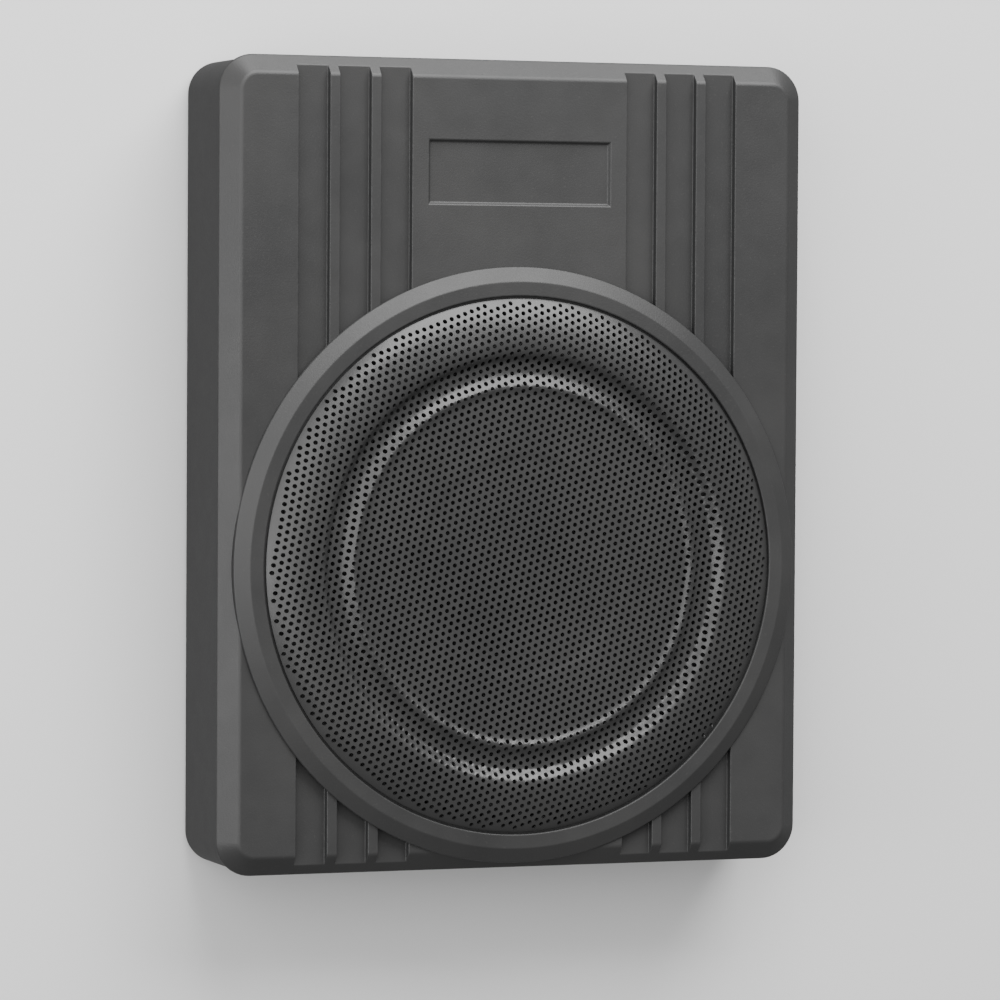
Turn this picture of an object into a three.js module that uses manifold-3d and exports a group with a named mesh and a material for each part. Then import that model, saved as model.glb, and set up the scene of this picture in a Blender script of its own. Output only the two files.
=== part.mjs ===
// Slim powered subwoofer that lies flat under a car seat.
// Millimetres, +Z up and out of the grille, +Y toward the end that holds the amplifier
// and the connection bay. The origin is on the floor, under the middle of the box.
import * as THREE from 'three';
import { mergeVertices } from 'three/addons/utils/BufferGeometryUtils.js';
import Module from 'manifold-3d';

// ---- Overall size and fits ----
const WIDTH = 260; // along X, over the edge of the cover
const LENGTH = 340; // along Y, over the edge of the cover
const FIT = 0.3; // gap between two pieces that meet
const OVERRUN = 1; // how far a cutter runs past the face it opens

// ---- Feet ----
const FOOT_HEIGHT = 3;
const FOOT_RADIUS = 9;
const FOOT_EDGE = 1; // chamfer round the sole
const FOOT_INSET = 32; // centre of a foot from the edge of the cover

// ---- Base housing ----
const BASE_INSET = 1.2; // side wall inside the edge of the cover
const BASE_WALL = 3;
const BASE_FLOOR = 2.5;
const BASE_CORNER = 13.6;
const BASE_CHAMFER = 2;
const GASKET_HEIGHT = 1;
const GASKET_MARGIN = 0.5; // gasket inside both faces of the base wall

// ---- Cover ----
const CHAMFER_RUN = 7.8;
const CHAMFER_RISE = 6.8;
const COVER_EDGE = 1.2; // upright edge below the chamfer
const COVER_SKIN = 2.5;
const COVER_LIP = 4; // width of the face that sits on the gasket
const FLAT_CORNER = 7;
const CHANNELS_PER_SIDE = 3;
const CHANNEL_START = 48; // inner edge of the first channel from the centre line
const CHANNEL_WIDTH = 13.5;
const CHANNEL_LAND = 4.5;
const CHANNEL_DEPTH = 3.2;
const PANEL_RECESS_WIDTH = 81.4;
const PANEL_RECESS_HEIGHT = 27;
const PANEL_RECESS_DEPTH = 1.5;
const PANEL_RECESS_FROM_END = 34;

// ---- Grille ring and grille, heights above the flat of the cover ----
const RING_END_MARGIN = 2.7; // ring inside the end of the cover
const RING_STEP = 0.9;
const RING_HEIGHT = 4;
const RING_CHAMFER_RUN = 6.3;
const RING_LAND = 6; // width of the flat top
const RING_SHELF = 4.5; // ledge inside the ring that carries the grille
const RING_SHELF_TOP = 2;
const RING_SHELF_BACK = 1.5; // ledge set back from the edge of the well
const RING_SKIRT = 6; // skirt down over the chamfered edge of the cover
const RING_SKIRT_WALL = 5;
const GRILLE_THICKNESS = 1;
const GRILLE_EDGE_GAP = 1;
const GRILLE_RIM_HEIGHT = 3.4;
const GRILLE_CREST = 10;
const GRILLE_CREST_IN = 20; // crest, groove and ridge measured in from the rim
const GRILLE_GROOVE_IN = 30.5;
const GRILLE_GROOVE_HEIGHT = 6.1;
const GRILLE_RIDGE_IN = 37;
const GRILLE_RIDGE_HEIGHT = 8.9;
const GRILLE_DISC_IN = 40;
const GRILLE_DISC_HEIGHT = 7.5;
const GRILLE_LIP_RUN = 3.5; // shoulder on the inner side of the groove, from its middle
const GRILLE_LIP_RISE = 0.9;
const GRILLE_FLOOR_RUN = 4.5; // foot of the outer wall of the groove, from its middle
const GRILLE_FLOOR_RISE = 0.6;
const GRILLE_SHOULDER_RUN = 3.5; // top of that wall, inside the crest and below it
const GRILLE_SHOULDER_DROP = 0.6;
// From the crest down to the rim: shares of the way in to the crest and of its rise
const GRILLE_FALL = [[0.8, 1], [0.5, 0.88], [0.22, 0.58], [0, 0]];

// ---- Screws ----
const HEAD_EDGE = 0.8; // chamfer of every screw head
const SCREW_POINT = 1; // length and run of the point
const SLOT_WIDTH = 1;
const SLOT_DEPTH = 1.5;
const SLOT_END = 1.6; // slot ends inside the edge of the head
const SCREW_SHANK = 2;
const SCREW_HEAD = 4.2;
const SCREW_HEAD_HEIGHT = 3;
const SCREW_SINK = 6; // head seat above the underside of the base
const SCREW_TIP_BELOW_FLAT = 8;
const BOSS_RADIUS = 6.5;
const BOSS_SPLIT_BELOW_FLAT = 16; // where the bosses of base and cover meet
const SCREW_INSET = 18; // corner screws from the edge of the cover
const MIDDLE_SCREW_UP = 82; // middle pair from the centre of the ring

// ---- Woofer, radii about its own axis ----
const SEAT_DEPTH = 10; // seat in the cover below the flat
const FLANGE_RADIUS = 106.3;
const FLANGE_WIDTH = 10.8;
const FLANGE_THICKNESS = 1.6;
const FLANGE_GASKET = 1;
const WELL_GAP = 0.7; // well in the cover around the flange
const SEAT_HOLE_GAP = 1.5; // hole in the seat around the basket
const BASKET_DEPTH = 20.7; // from the underside of the flange to the motor
const BASKET_SHEET = 1.6;
const BASKET_SHOULDER_IN = 5; // shoulder inside the wall and above the landing
const BASKET_SHOULDER_RISE = 6;
const BASKET_STEP_RUN = 2; // step up to the landing, over the edge of the top plate
const BASKET_STEP_BACK = 1.5; // its inner side behind its outer side
const WOOFER_SCREWS = 4;
const WOOFER_SCREW_IN = 3.7; // screw circle inside the edge of the flange
const WOOFER_SCREW_SHANK = 1.9;
const WOOFER_SCREW_HEAD = 3;
const WOOFER_SCREW_HEAD_HEIGHT = 2;
const WOOFER_SCREW_POINT = 1.5;
const WOOFER_SLOT_WIDTH = 0.8;
const WOOFER_SLOT_DEPTH = 1.2;
const WOOFER_SLOT_END = 1;
const WOOFER_SCREW_TIP = 3; // below the seat
const SPOKES = 6;
const SPOKE_WIDTH = 12;
const WINDOW_INNER = 60;
const WINDOW_RIM = 10.5; // windows end inside the wall of the basket
const LANDING_RADIUS = 58; // outside of the flat that carries the spider
const MOTOR_CLEARANCE = 2; // under the yoke
const YOKE_RADIUS = 48;
const YOKE_PLATE = 5.5;
const YOKE_EDGE = 1.5; // chamfer round its underside
const POLE_RADIUS = 23;
const POLE_VENT = 5;
const MAGNET_RADIUS = 50;
const MAGNET_HEIGHT = 12;
const MAGNET_BORE_GAP = 1; // bore of the magnet wider than that of the top plate
const TOP_PLATE = 5;
const TOP_PLATE_BORE = 27;
const LANDING_STEP = 1.7; // spider landing above the inner plate of the basket
const FORMER_RADIUS = 24.9;
const FORMER_WALL = 0.5;
const WINDING_WALL = 1.1;
const WINDING_HEIGHT = 14.5;
const FORMER_BELOW_WINDING = 1;
const FORMER_ABOVE_NECK = 2;
const SPIDER_RISE = 2.5;
const SPIDER_SHEET = 0.8;
const SPIDER_WAVES = 2;
const SPIDER_WAVE = 0.8;
const SPIDER_WAVE_STEPS = 3; // straight lines in each wave
const SPIDER_COLLAR = 2; // flat ring glued to the former
const SPIDER_RIM_IN = 2; // rim inside the edge of its landing
const CONE_EDGE_IN = 11.5; // edge of the cone inside the wall of the basket
const CONE_DEPTH = 8;
const CONE_SHEET = 1.2;
const CONE_CURVE = 1.25; // power of the cone's flare
const CONE_SHARES = [0, 0.25, 0.55, 0.85, 1];
const CONE_RIM_BELOW_SEAT = 1.5;
const CAP_RADIUS = 33;
const CAP_RISE = 9;
const CAP_SHEET = 1;
const CAP_RIM_LIFT = 1.2; // glued rim above the cone
const CAP_SHARES = [0, 0.35, 0.65, 0.88, 1];
const ROLL_RISE = 5;
const ROLL_STEPS = 5;
const ROLL_FULLNESS = 0.75; // below 1 the roll is fuller than a sine
const SURROUND_SHEET = 0.8;
const SURROUND_GLUE = 4; // flat glued bands of the surround
const SURROUND_ON_FLANGE = 3.5;
const STRIP_OVERLAP = 3; // terminal strip inside the edge of the landing
const STRIP_DEPTH = 11;
const STRIP_THICKNESS = 2;
const LEAD_BESIDE_SPOKE = 3;
const BRAID_RADIUS = 0.8;
const BRAID_STEPS = 10;
const CONE_JOINT_IN = 12; // where a lead joins the cone, inside the windows
const WIRE_RADIUS = 1.5;
const WIRE_STEPS = 18;

// ---- Amplifier board and what stands on it ----
const BOARD_WIDTH = 180;
const BOARD_DEPTH = 62;
const BOARD_THICKNESS = 1.6;
const BOARD_STANDOFF = 8; // above the floor of the base
const BOARD_FROM_END = 18; // from the edge of the cover
const STANDOFF_RADIUS = 3.5;
const BOARD_SCREW_SHANK = 1.3;
const BOARD_SCREW_HEAD = 2.8;
const BOARD_SCREW_HEAD_HEIGHT = 1.8;
const BOARD_SCREW_TIP = 1; // above the floor of the base
const BOARD_SCREW_INSET = 5;
const SINK_FROM_SIDE = 12; // from the edges of the board
const SINK_FROM_EDGE = 14;
const SINK_WIDTH = 48;
const SINK_PLATE = 4;
const SINK_FIN = 2;
const SINK_FINS = 5;
const SINK_FIN_DEPTH = 16;
const SINK_HEIGHT = 24;
const TRANSISTOR_SHARES = [0.25, 0.75]; // places along the heat sink
const TRANSISTOR_HALF_WIDTH = 5;
const TRANSISTOR_DEPTH = 4.5;
const TRANSISTOR_BOTTOM = 5; // case above the board
const TRANSISTOR_TOP = 14;
const TAB_THICKNESS = 1.3;
const TAB_TOP = 20;
const LEG_PITCH = 2.5;
const LEG_HALF_WIDTH = 0.5;
const LEG_FRONT = 1;
const LEG_BACK = 1.8;
const TALL_FROM_EDGE = 22; // capacitors and choke from the near edge of the board
const CAPACITOR_X = 8;
const CAPACITOR_GAP = 4;
const CAPACITOR_EDGE = 1;
const CAPACITOR_RADIUS = 9;
const CAPACITOR_HEIGHT = 27;
const CHOKE_RADIUS = 12;
const CHOKE_WAIST = 6;
const CHOKE_HEIGHT = 16;
const CHOKE_FLANGE = 2.5;
const CHOKE_FROM_SIDE = 30;
const CHOKE_WINDING_IN = 1; // winding inside the edge of the core
const LEAD_CLEARANCE = 3; // speaker lead above the floor of the base

// ---- Connection bay in the +Y end wall ----
const BAY_WIDTH = 184;
const BAY_HEIGHT = 35;
const BAY_BOTTOM = 9.5;
const BAY_DEPTH = 9.5;
const BAY_WALL = 2.5;
const BAY_LIP = 3.5;
const BAY_END_LIP = 8;
const BAY_LIP_THICKNESS = 2.4;
const PANEL_THICKNESS = 1.6;
const ROW_Z = 24; // centre line of the knobs and sockets
const KNOB_RADIUS = 5.5;
const KNOB_LENGTH = 6;
const KNOB_TAPER = 0.4;
const KNOB_EDGE = 0.6;
const POINTER_WIDTH = 1;
const POINTER_DEPTH = 0.6;
const POINTER_START = 1; // from the middle of the knob
const SHAFT_RADIUS = 3;
const SHAFT_LENGTH = 7;
const POT_WIDTH = 10;
const POT_HEIGHT = 11;
const POT_DEPTH = 7;
const SWITCH_TRAVEL = 4;
const SLIDER_WIDTH = 3.4;
const SLIDER_HEIGHT = 2.6;
const SLIDER_OUT = 3; // in front of the panel and behind it
const SWITCH_WALL = 2;
const SWITCH_DEPTH = 6;
const SWITCH_SLOT = 4;
const SWITCH_HEIGHT = 8;
const PIN_WIDTH = 1.4;
const PIN_LENGTH = 6;
const PHONO_BARREL = 4.2;
const PHONO_OUT = 7;
const PHONO_BORE = 1.6;
const PHONO_BORE_BACK = 5;
const PHONO_BODY_DEPTH = 9;
const PHONO_BODY_HEIGHT = 12;
const LED_RADIUS = 1.5;
const LED_FLANGE = 2;
const LED_FLANGE_DEPTH = 4;
const LED_DOME = [[1.5, 0.3], [1, 1.1], [0, 1.4]]; // radius and reach in front of the panel
const PANEL_SCREW_TIP = 2; // behind the lip

// ---- Positions along the panel, +X first ----
const POWER_SOCKET_X = 68;
const SPEAKER_SOCKET_X = 42;
const PHONO_X = 16;
const PHONO_PITCH = 14;
const SWITCH_X = -8;
const LED_X = -21;
const KNOBS = [['gain', -34], ['bass_boost', -52], ['crossover', -70]];

// ---- Roundness: straight sides around a full turn ----
const SIDES_LARGE = 44;
const SIDES_MEDIUM = 28;
const SIDES_ROUND_CAN = 20;
const SIDES_SMALL = 12;
const SIDES_SCREW = 8;

// ---- Levels and radii worked out from the sizes above ----
const BASE_BOTTOM = FOOT_HEIGHT;
const FLOOR_TOP = BASE_BOTTOM + BASE_FLOOR;
const YOKE_BOTTOM = FLOOR_TOP + MOTOR_CLEARANCE;
const MAGNET_BOTTOM = YOKE_BOTTOM + YOKE_PLATE + FIT;
const TOP_PLATE_BOTTOM = MAGNET_BOTTOM + MAGNET_HEIGHT + FIT;
const TOP_PLATE_TOP = TOP_PLATE_BOTTOM + TOP_PLATE;
const BASKET_BOTTOM = TOP_PLATE_TOP + FIT;
const FLANGE_BOTTOM = BASKET_BOTTOM + BASKET_DEPTH;
const FLANGE_TOP = FLANGE_BOTTOM + FLANGE_THICKNESS;
const SEAT_Z = FLANGE_BOTTOM - FIT - FLANGE_GASKET - FIT;
const FLAT_Z = SEAT_Z + SEAT_DEPTH; // flat top of the cover
const COVER_BOTTOM = FLAT_Z - CHAMFER_RISE - COVER_EDGE;
const GASKET_BOTTOM = COVER_BOTTOM - FIT - GASKET_HEIGHT;
const BASE_TOP = GASKET_BOTTOM - FIT;
const BASKET_WALL_RADIUS = FLANGE_RADIUS - FLANGE_WIDTH; // outside, just under the flange
const SEAT_HOLE = BASKET_WALL_RADIUS + SEAT_HOLE_GAP;
const WELL_RADIUS = FLANGE_RADIUS + WELL_GAP;
const RING_SHELF_RADIUS = WELL_RADIUS + RING_SHELF_BACK;
const RING_BORE = RING_SHELF_RADIUS + RING_SHELF;
const RING_TOP_RADIUS = RING_BORE + RING_LAND;
const RING_RADIUS = RING_TOP_RADIUS + RING_CHAMFER_RUN;
const RING_Y = -LENGTH / 2 + RING_END_MARGIN + RING_RADIUS;
const WINDOW_OUTER = BASKET_WALL_RADIUS - WINDOW_RIM;
const CONE_RADIUS = BASKET_WALL_RADIUS - CONE_EDGE_IN;
const SURROUND_OUTER = BASKET_WALL_RADIUS + SURROUND_ON_FLANGE;
const BAY_FACE_Y = LENGTH / 2 - BASE_INSET;
const PANEL_Y = BAY_FACE_Y - BAY_DEPTH; // outer face of the control panel
const PANEL_BACK_Y = PANEL_Y - PANEL_THICKNESS;
const BOARD_BOTTOM = FLOOR_TOP + BOARD_STANDOFF;
const BOARD_TOP = BOARD_BOTTOM + BOARD_THICKNESS;

const wasm = await Module();
wasm.setup();

// ---- Solids and booleans ----

function solid(geometry) {
  const bare = geometry.clone();
  bare.deleteAttribute('normal');
  bare.deleteAttribute('uv');
  const welded = mergeVertices(bare, 1e-4);
  const corners = welded.index.array;
  const kept = [];
  for (let i = 0; i < corners.length; i += 3) {
    const [a, b, c] = corners.slice(i, i + 3);
    if (a !== b && b !== c && c !== a) kept.push(a, b, c);
  }
  return new wasm.Manifold(new wasm.Mesh({
    numProp: 3,
    vertProperties: new Float32Array(welded.attributes.position.array),
    triVerts: new Uint32Array(kept),
  }));
}

function geometryOf(body) {
  const mesh = body.getMesh();
  const geometry = new THREE.BufferGeometry();
  geometry.setAttribute('position', new THREE.BufferAttribute(mesh.vertProperties, 3));
  geometry.setIndex(new THREE.BufferAttribute(mesh.triVerts, 1));
  geometry.computeVertexNormals();
  return geometry;
}

function join(...pieces) {
  return geometryOf(pieces.map(solid).reduce((all, next) => all.add(next)));
}

function cut(piece, ...cutters) {
  return geometryOf(cutters.map(solid).reduce((rest, next) => rest.subtract(next), solid(piece)));
}

function common(first, second) {
  return geometryOf(solid(first).intersect(solid(second)));
}

// ---- Shapes ----

// A box between two opposite corners.
function box(x0, x1, y0, y1, z0, z1) {
  const shape = new THREE.BoxGeometry(x1 - x0, y1 - y0, z1 - z0);
  return shape.translate((x0 + x1) / 2, (y0 + y1) / 2, (z0 + z1) / 2);
}

// A closed profile of [radius, height] pairs, counter-clockwise, turned about Z.
function turned(profile, sides) {
  return turnedAboutY(profile, sides).rotateX(Math.PI / 2);
}

function turnedAboutY(profile, sides) {
  const onAxis = profile[0][0] === 0 && profile.at(-1)[0] === 0;
  const loop = onAxis ? profile : [...profile, profile[0]];
  return new THREE.LatheGeometry(loop.map(([r, h]) => new THREE.Vector2(r, h)), sides);
}

function rod(radius, z0, z1, sides) {
  return turned([[0, z0], [radius, z0], [radius, z1], [0, z1]], sides);
}

function rodAlongY(radius, y0, y1, sides) {
  return turnedAboutY([[0, y0], [radius, y0], [radius, y1], [0, y1]], sides);
}

function band(inner, outer, z0, z1, sides) {
  return turned([[inner, z0], [outer, z0], [outer, z1], [inner, z1]], sides);
}

// A thin turned sheet: the line is its upper side, from the inside outwards.
function sheet(line, thickness, sides) {
  const under = line.map(([r, z], i) => {
    const [r0, z0] = line[Math.max(i - 1, 0)];
    const [r1, z1] = line[Math.min(i + 1, line.length - 1)];
    const run = Math.hypot(r1 - r0, z1 - z0);
    return [r === 0 ? 0 : r + (z1 - z0) / run * thickness, z - (r1 - r0) / run * thickness];
  });
  return turned([...under, ...line.toReversed()], sides);
}

function roundedOutline(halfX, halfY, corner) {
  const outline = new THREE.Shape();
  const x = halfX - corner;
  const y = halfY - corner;
  outline.absarc(x, y, corner, 0, Math.PI / 2);
  outline.absarc(-x, y, corner, Math.PI / 2, Math.PI);
  outline.absarc(-x, -y, corner, Math.PI, Math.PI * 1.5);
  outline.absarc(x, -y, corner, Math.PI * 1.5, Math.PI * 2);
  return outline;
}

function roundedBlock(halfX, halfY, corner, z0, z1) {
  const outline = roundedOutline(halfX, halfY, corner);
  const options = { depth: z1 - z0, bevelEnabled: false, curveSegments: 3 };
  return new THREE.ExtrudeGeometry(outline, options).translate(0, 0, z0);
}

// A rounded block whose edges are chamfered at the top (or at the bottom).
function chamferedBlock({ halfX, halfY, corner, run, rise, z0, z1, atBottom = false }) {
  const outline = roundedOutline(halfX - run, halfY - run, corner);
  const depth = z1 - z0 - rise + OVERRUN;
  const options = {
    depth, bevelEnabled: true, bevelSize: run, bevelThickness: rise, bevelSegments: 1, curveSegments: 3,
  };
  const block = new THREE.ExtrudeGeometry(outline, options);
  block.translate(0, 0, atBottom ? z0 + rise : z1 - depth - rise);
  return common(block, box(-halfX * 2, halfX * 2, -halfY * 2, halfY * 2, z0, z1));
}

function polar(radius, angle) {
  return [radius * Math.cos(angle), radius * Math.sin(angle)];
}

// ---- The scene graph ----

const object = new THREE.Group();

function addGroup(x, y, z) {
  const group = new THREE.Group();
  group.position.set(x, y, z);
  object.add(group);
  return group;
}

function addPiece(group, name, geometry, [color, roughness, metalness], at = [0, 0, 0]) {
  const material = new THREE.MeshStandardMaterial({ color, roughness, metalness });
  const mesh = new THREE.Mesh(geometry, material);
  mesh.name = name;
  mesh.position.set(...at);
  group.add(mesh);
}

const PAINT = [0x3a3b3d, 0.5, 0.1];
const COATED_STEEL = [0x2b2c2e, 0.45, 0.4];
const RUBBER = [0x161616, 0.9, 0];
const PAPER = [0x1c1c1d, 0.85, 0];
const PLASTIC = [0x1a1a1b, 0.55, 0];
const ZINC = [0x8c9092, 0.4, 0.9];
const DARK_ZINC = [0x2a2a2c, 0.4, 0.8];
const FERRITE = [0x2d2d30, 0.7, 0.2];
const COPPER = [0xa8642f, 0.35, 0.9];
const ALUMINIUM = [0xb4b6b8, 0.35, 0.9];
const BOARD = [0x14502e, 0.5, 0];
const CLOTH = [0xa88a4a, 0.9, 0];
const LENS = [0x2f8f4a, 0.2, 0];

// ---- Housing: base, gasket, cover, ring, grille, feet and cover screws ----

const CORNER_SCREWS = [1, -1].flatMap((sy) => [1, -1].map((sx) => [
  sx * (WIDTH / 2 - SCREW_INSET), sy * (LENGTH / 2 - SCREW_INSET),
]));
const MIDDLE_SCREWS = [1, -1].map((sx) => [
  sx * (WIDTH / 2 - SCREW_INSET), RING_Y + MIDDLE_SCREW_UP,
]);
const COVER_SCREWS = [...CORNER_SCREWS, ...MIDDLE_SCREWS];
const BOSS_SPLIT = FLAT_Z - BOSS_SPLIT_BELOW_FLAT;
const HEAD_SEAT = BASE_BOTTOM + SCREW_SINK;

const BOARD_FAR_Y = LENGTH / 2 - BOARD_FROM_END;
const BOARD_NEAR_Y = BOARD_FAR_Y - BOARD_DEPTH;
const BOARD_SCREWS = [1, -1].map((sx) => [
  sx * (BOARD_WIDTH / 2 - BOARD_SCREW_INSET), BOARD_NEAR_Y + BOARD_SCREW_INSET,
]);

function coverEnvelope(grow, z0) {
  return chamferedBlock({
    halfX: WIDTH / 2 + grow,
    halfY: LENGTH / 2 + grow,
    corner: FLAT_CORNER,
    run: CHAMFER_RUN,
    rise: CHAMFER_RISE,
    z0,
    z1: FLAT_Z + grow,
  });
}

function channelBars(widen, z0, z1) {
  const bars = [];
  for (let i = 0; i < CHANNELS_PER_SIDE; i += 1) {
    const start = CHANNEL_START + i * (CHANNEL_WIDTH + CHANNEL_LAND);
    for (const side of [1, -1]) {
      const middle = side * (start + CHANNEL_WIDTH / 2);
      const half = CHANNEL_WIDTH / 2 + widen;
      bars.push(box(middle - half, middle + half, -LENGTH, LENGTH, z0, z1));
    }
  }
  return join(...bars);
}

function panelRecess(z0, z1) {
  const top = LENGTH / 2 - PANEL_RECESS_FROM_END;
  const half = PANEL_RECESS_WIDTH / 2;
  return box(-half, half, top - PANEL_RECESS_HEIGHT, top, z0, z1);
}

function makeCover() {
  const skinBottom = FLAT_Z - COVER_SKIN;
  const cavity = chamferedBlock({
    halfX: WIDTH / 2 - COVER_LIP,
    halfY: LENGTH / 2 - COVER_LIP,
    corner: FLAT_CORNER,
    run: skinBottom - COVER_BOTTOM,
    rise: skinBottom - COVER_BOTTOM,
    z0: COVER_BOTTOM - OVERRUN,
    z1: skinBottom,
  });
  const underRing = rod(RING_RADIUS - RING_SKIRT_WALL, 0, FLAT_Z * 2, SIDES_LARGE).translate(0, RING_Y, 0);
  const channelFloor = FLAT_Z - CHANNEL_DEPTH;
  const backing = cut(channelBars(COVER_SKIN, channelFloor - COVER_SKIN, FLAT_Z), underRing);
  const shell = cut(coverEnvelope(0, COVER_BOTTOM), cut(cavity, backing));
  const wellBottom = SEAT_Z - COVER_SKIN;
  const well = band(SEAT_HOLE, WELL_RADIUS + COVER_SKIN, wellBottom, FLAT_Z - OVERRUN, SIDES_LARGE);
  const bosses = COVER_SCREWS.map(([x, y]) => (
    rod(BOSS_RADIUS, BOSS_SPLIT + FIT, FLAT_Z - OVERRUN, SIDES_SMALL).translate(x, y, 0)));
  const bores = COVER_SCREWS.map(([x, y]) => (
    rod(SCREW_SHANK + FIT, BOSS_SPLIT, FLAT_Z - SCREW_TIP_BELOW_FLAT + OVERRUN, SIDES_SCREW)
      .translate(x, y, 0)));
  const opening = rod(WELL_RADIUS, SEAT_Z, FLAT_Z + OVERRUN, SIDES_LARGE);
  const seatHole = rod(SEAT_HOLE, wellBottom - OVERRUN, SEAT_Z + OVERRUN, SIDES_LARGE);
  const screwHoles = wooferScrewPlaces().map(([x, y]) => (
    rod(WOOFER_SCREW_SHANK + FIT, wellBottom - OVERRUN, FLAT_Z, SIDES_SCREW).translate(x, y, 0)));
  return cut(
    join(shell, well.translate(0, RING_Y, 0), ...bosses),
    cut(channelBars(0, channelFloor, FLAT_Z + OVERRUN), underRing),
    panelRecess(FLAT_Z - PANEL_RECESS_DEPTH, FLAT_Z + OVERRUN),
    join(opening, seatHole, ...screwHoles).translate(0, RING_Y, 0),
    ...bores,
  );
}

function makeRing() {
  const skirtInside = RING_RADIUS - RING_SKIRT_WALL;
  const ring = turned([
    [RING_SHELF_RADIUS, FIT],
    [skirtInside, FIT],
    [skirtInside, -RING_SKIRT],
    [RING_RADIUS, -RING_SKIRT],
    [RING_RADIUS, RING_STEP],
    [RING_TOP_RADIUS, RING_HEIGHT],
    [RING_BORE, RING_HEIGHT],
    [RING_BORE, RING_SHELF_TOP],
    [RING_SHELF_RADIUS, RING_SHELF_TOP],
  ], SIDES_LARGE);
  return cut(ring.translate(0, RING_Y, FLAT_Z), coverEnvelope(FIT, COVER_BOTTOM - OVERRUN));
}

function makeGrille() {
  const rim = RING_BORE - GRILLE_EDGE_GAP;
  const crest = rim - GRILLE_CREST_IN;
  const groove = rim - GRILLE_GROOVE_IN;
  const rise = GRILLE_CREST - GRILLE_RIM_HEIGHT;
  const line = [
    [0, GRILLE_DISC_HEIGHT],
    [rim - GRILLE_DISC_IN, GRILLE_DISC_HEIGHT],
    [rim - GRILLE_RIDGE_IN, GRILLE_RIDGE_HEIGHT],
    [groove - GRILLE_LIP_RUN, GRILLE_GROOVE_HEIGHT + GRILLE_LIP_RISE],
    [groove, GRILLE_GROOVE_HEIGHT],
    [groove + GRILLE_FLOOR_RUN, GRILLE_GROOVE_HEIGHT + GRILLE_FLOOR_RISE],
    [crest - GRILLE_SHOULDER_RUN, GRILLE_CREST - GRILLE_SHOULDER_DROP],
    ...GRILLE_FALL.map(([inward, up]) => [rim - GRILLE_CREST_IN * inward, GRILLE_RIM_HEIGHT + rise * up]),
    [rim, RING_SHELF_TOP + FIT],
  ];
  return sheet(line, GRILLE_THICKNESS, SIDES_LARGE).translate(0, RING_Y, FLAT_Z);
}

function makeGasket() {
  const outerX = WIDTH / 2 - BASE_INSET - GASKET_MARGIN;
  const outerY = LENGTH / 2 - BASE_INSET - GASKET_MARGIN;
  const width = BASE_WALL - 2 * GASKET_MARGIN;
  const corner = BASE_CORNER - GASKET_MARGIN;
  const top = GASKET_BOTTOM + GASKET_HEIGHT;
  return cut(
    roundedBlock(outerX, outerY, corner, GASKET_BOTTOM, top),
    roundedBlock(outerX - width, outerY - width, corner - width, GASKET_BOTTOM - OVERRUN, top + OVERRUN),
  );
}

function makeBase() {
  const halfX = WIDTH / 2 - BASE_INSET;
  const halfY = LENGTH / 2 - BASE_INSET;
  const tub = chamferedBlock({
    halfX,
    halfY,
    corner: BASE_CORNER - BASE_CHAMFER,
    run: BASE_CHAMFER,
    rise: BASE_CHAMFER,
    z0: BASE_BOTTOM,
    z1: BASE_TOP,
    atBottom: true,
  });
  const inside = roundedBlock(
    halfX - BASE_WALL, halfY - BASE_WALL, BASE_CORNER - BASE_WALL, FLOOR_TOP, BASE_TOP + OVERRUN);
  const bosses = COVER_SCREWS.map(([x, y]) => (
    rod(BOSS_RADIUS, FLOOR_TOP - OVERRUN, BOSS_SPLIT, SIDES_SMALL).translate(x, y, 0)));
  const standoffs = BOARD_SCREWS.map(([x, y]) => (
    rod(STANDOFF_RADIUS, FLOOR_TOP - OVERRUN, BOARD_BOTTOM - FIT, SIDES_SCREW).translate(x, y, 0)));
  const headPockets = COVER_SCREWS.map(([x, y]) => (
    rod(SCREW_HEAD + FIT, BASE_BOTTOM - OVERRUN, HEAD_SEAT, SIDES_SMALL).translate(x, y, 0)));
  const bores = COVER_SCREWS.map(([x, y]) => (
    rod(SCREW_SHANK + FIT, HEAD_SEAT - OVERRUN, BOSS_SPLIT + OVERRUN, SIDES_SCREW).translate(x, y, 0)));
  const pilots = BOARD_SCREWS.map(([x, y]) => (
    rod(BOARD_SCREW_SHANK + FIT, FLOOR_TOP, BOARD_BOTTOM, SIDES_SCREW).translate(x, y, 0)));
  return cut(
    join(cut(tub, inside), bayFrame(), ...bosses, ...standoffs),
    bayOpening(),
    ...headPockets,
    ...bores,
    ...pilots,
  );
}

// The four walls of the connection bay and the lip that its panel seats on.
function bayFrame() {
  const halfX = BAY_WIDTH / 2 + BAY_WALL;
  const back = PANEL_BACK_Y - FIT - BAY_LIP_THICKNESS;
  const z0 = BAY_BOTTOM - BAY_WALL;
  const z1 = BAY_BOTTOM + BAY_HEIGHT + BAY_WALL;
  return box(-halfX, halfX, back, BAY_FACE_Y - BASE_WALL / 2, z0, z1);
}

function bayOpening() {
  const half = BAY_WIDTH / 2;
  const lipFace = PANEL_BACK_Y - FIT;
  const z1 = BAY_BOTTOM + BAY_HEIGHT;
  const pocket = box(-half, half, lipFace, BAY_FACE_Y + OVERRUN, BAY_BOTTOM, z1);
  const throatHalf = half - BAY_END_LIP;
  const throat = box(
    -throatHalf, throatHalf, lipFace - BAY_LIP_THICKNESS - OVERRUN, lipFace + OVERRUN,
    BAY_BOTTOM + BAY_LIP, z1 - BAY_LIP);
  const screwHoles = panelScrewPlaces().map((x) => (
    rodAlongY(BOARD_SCREW_SHANK + FIT, lipFace - BAY_LIP_THICKNESS - OVERRUN, lipFace + OVERRUN, SIDES_SCREW)
      .translate(x, 0, BAY_BOTTOM + BAY_HEIGHT / 2)));
  return join(pocket, throat, ...screwHoles);
}

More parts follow.
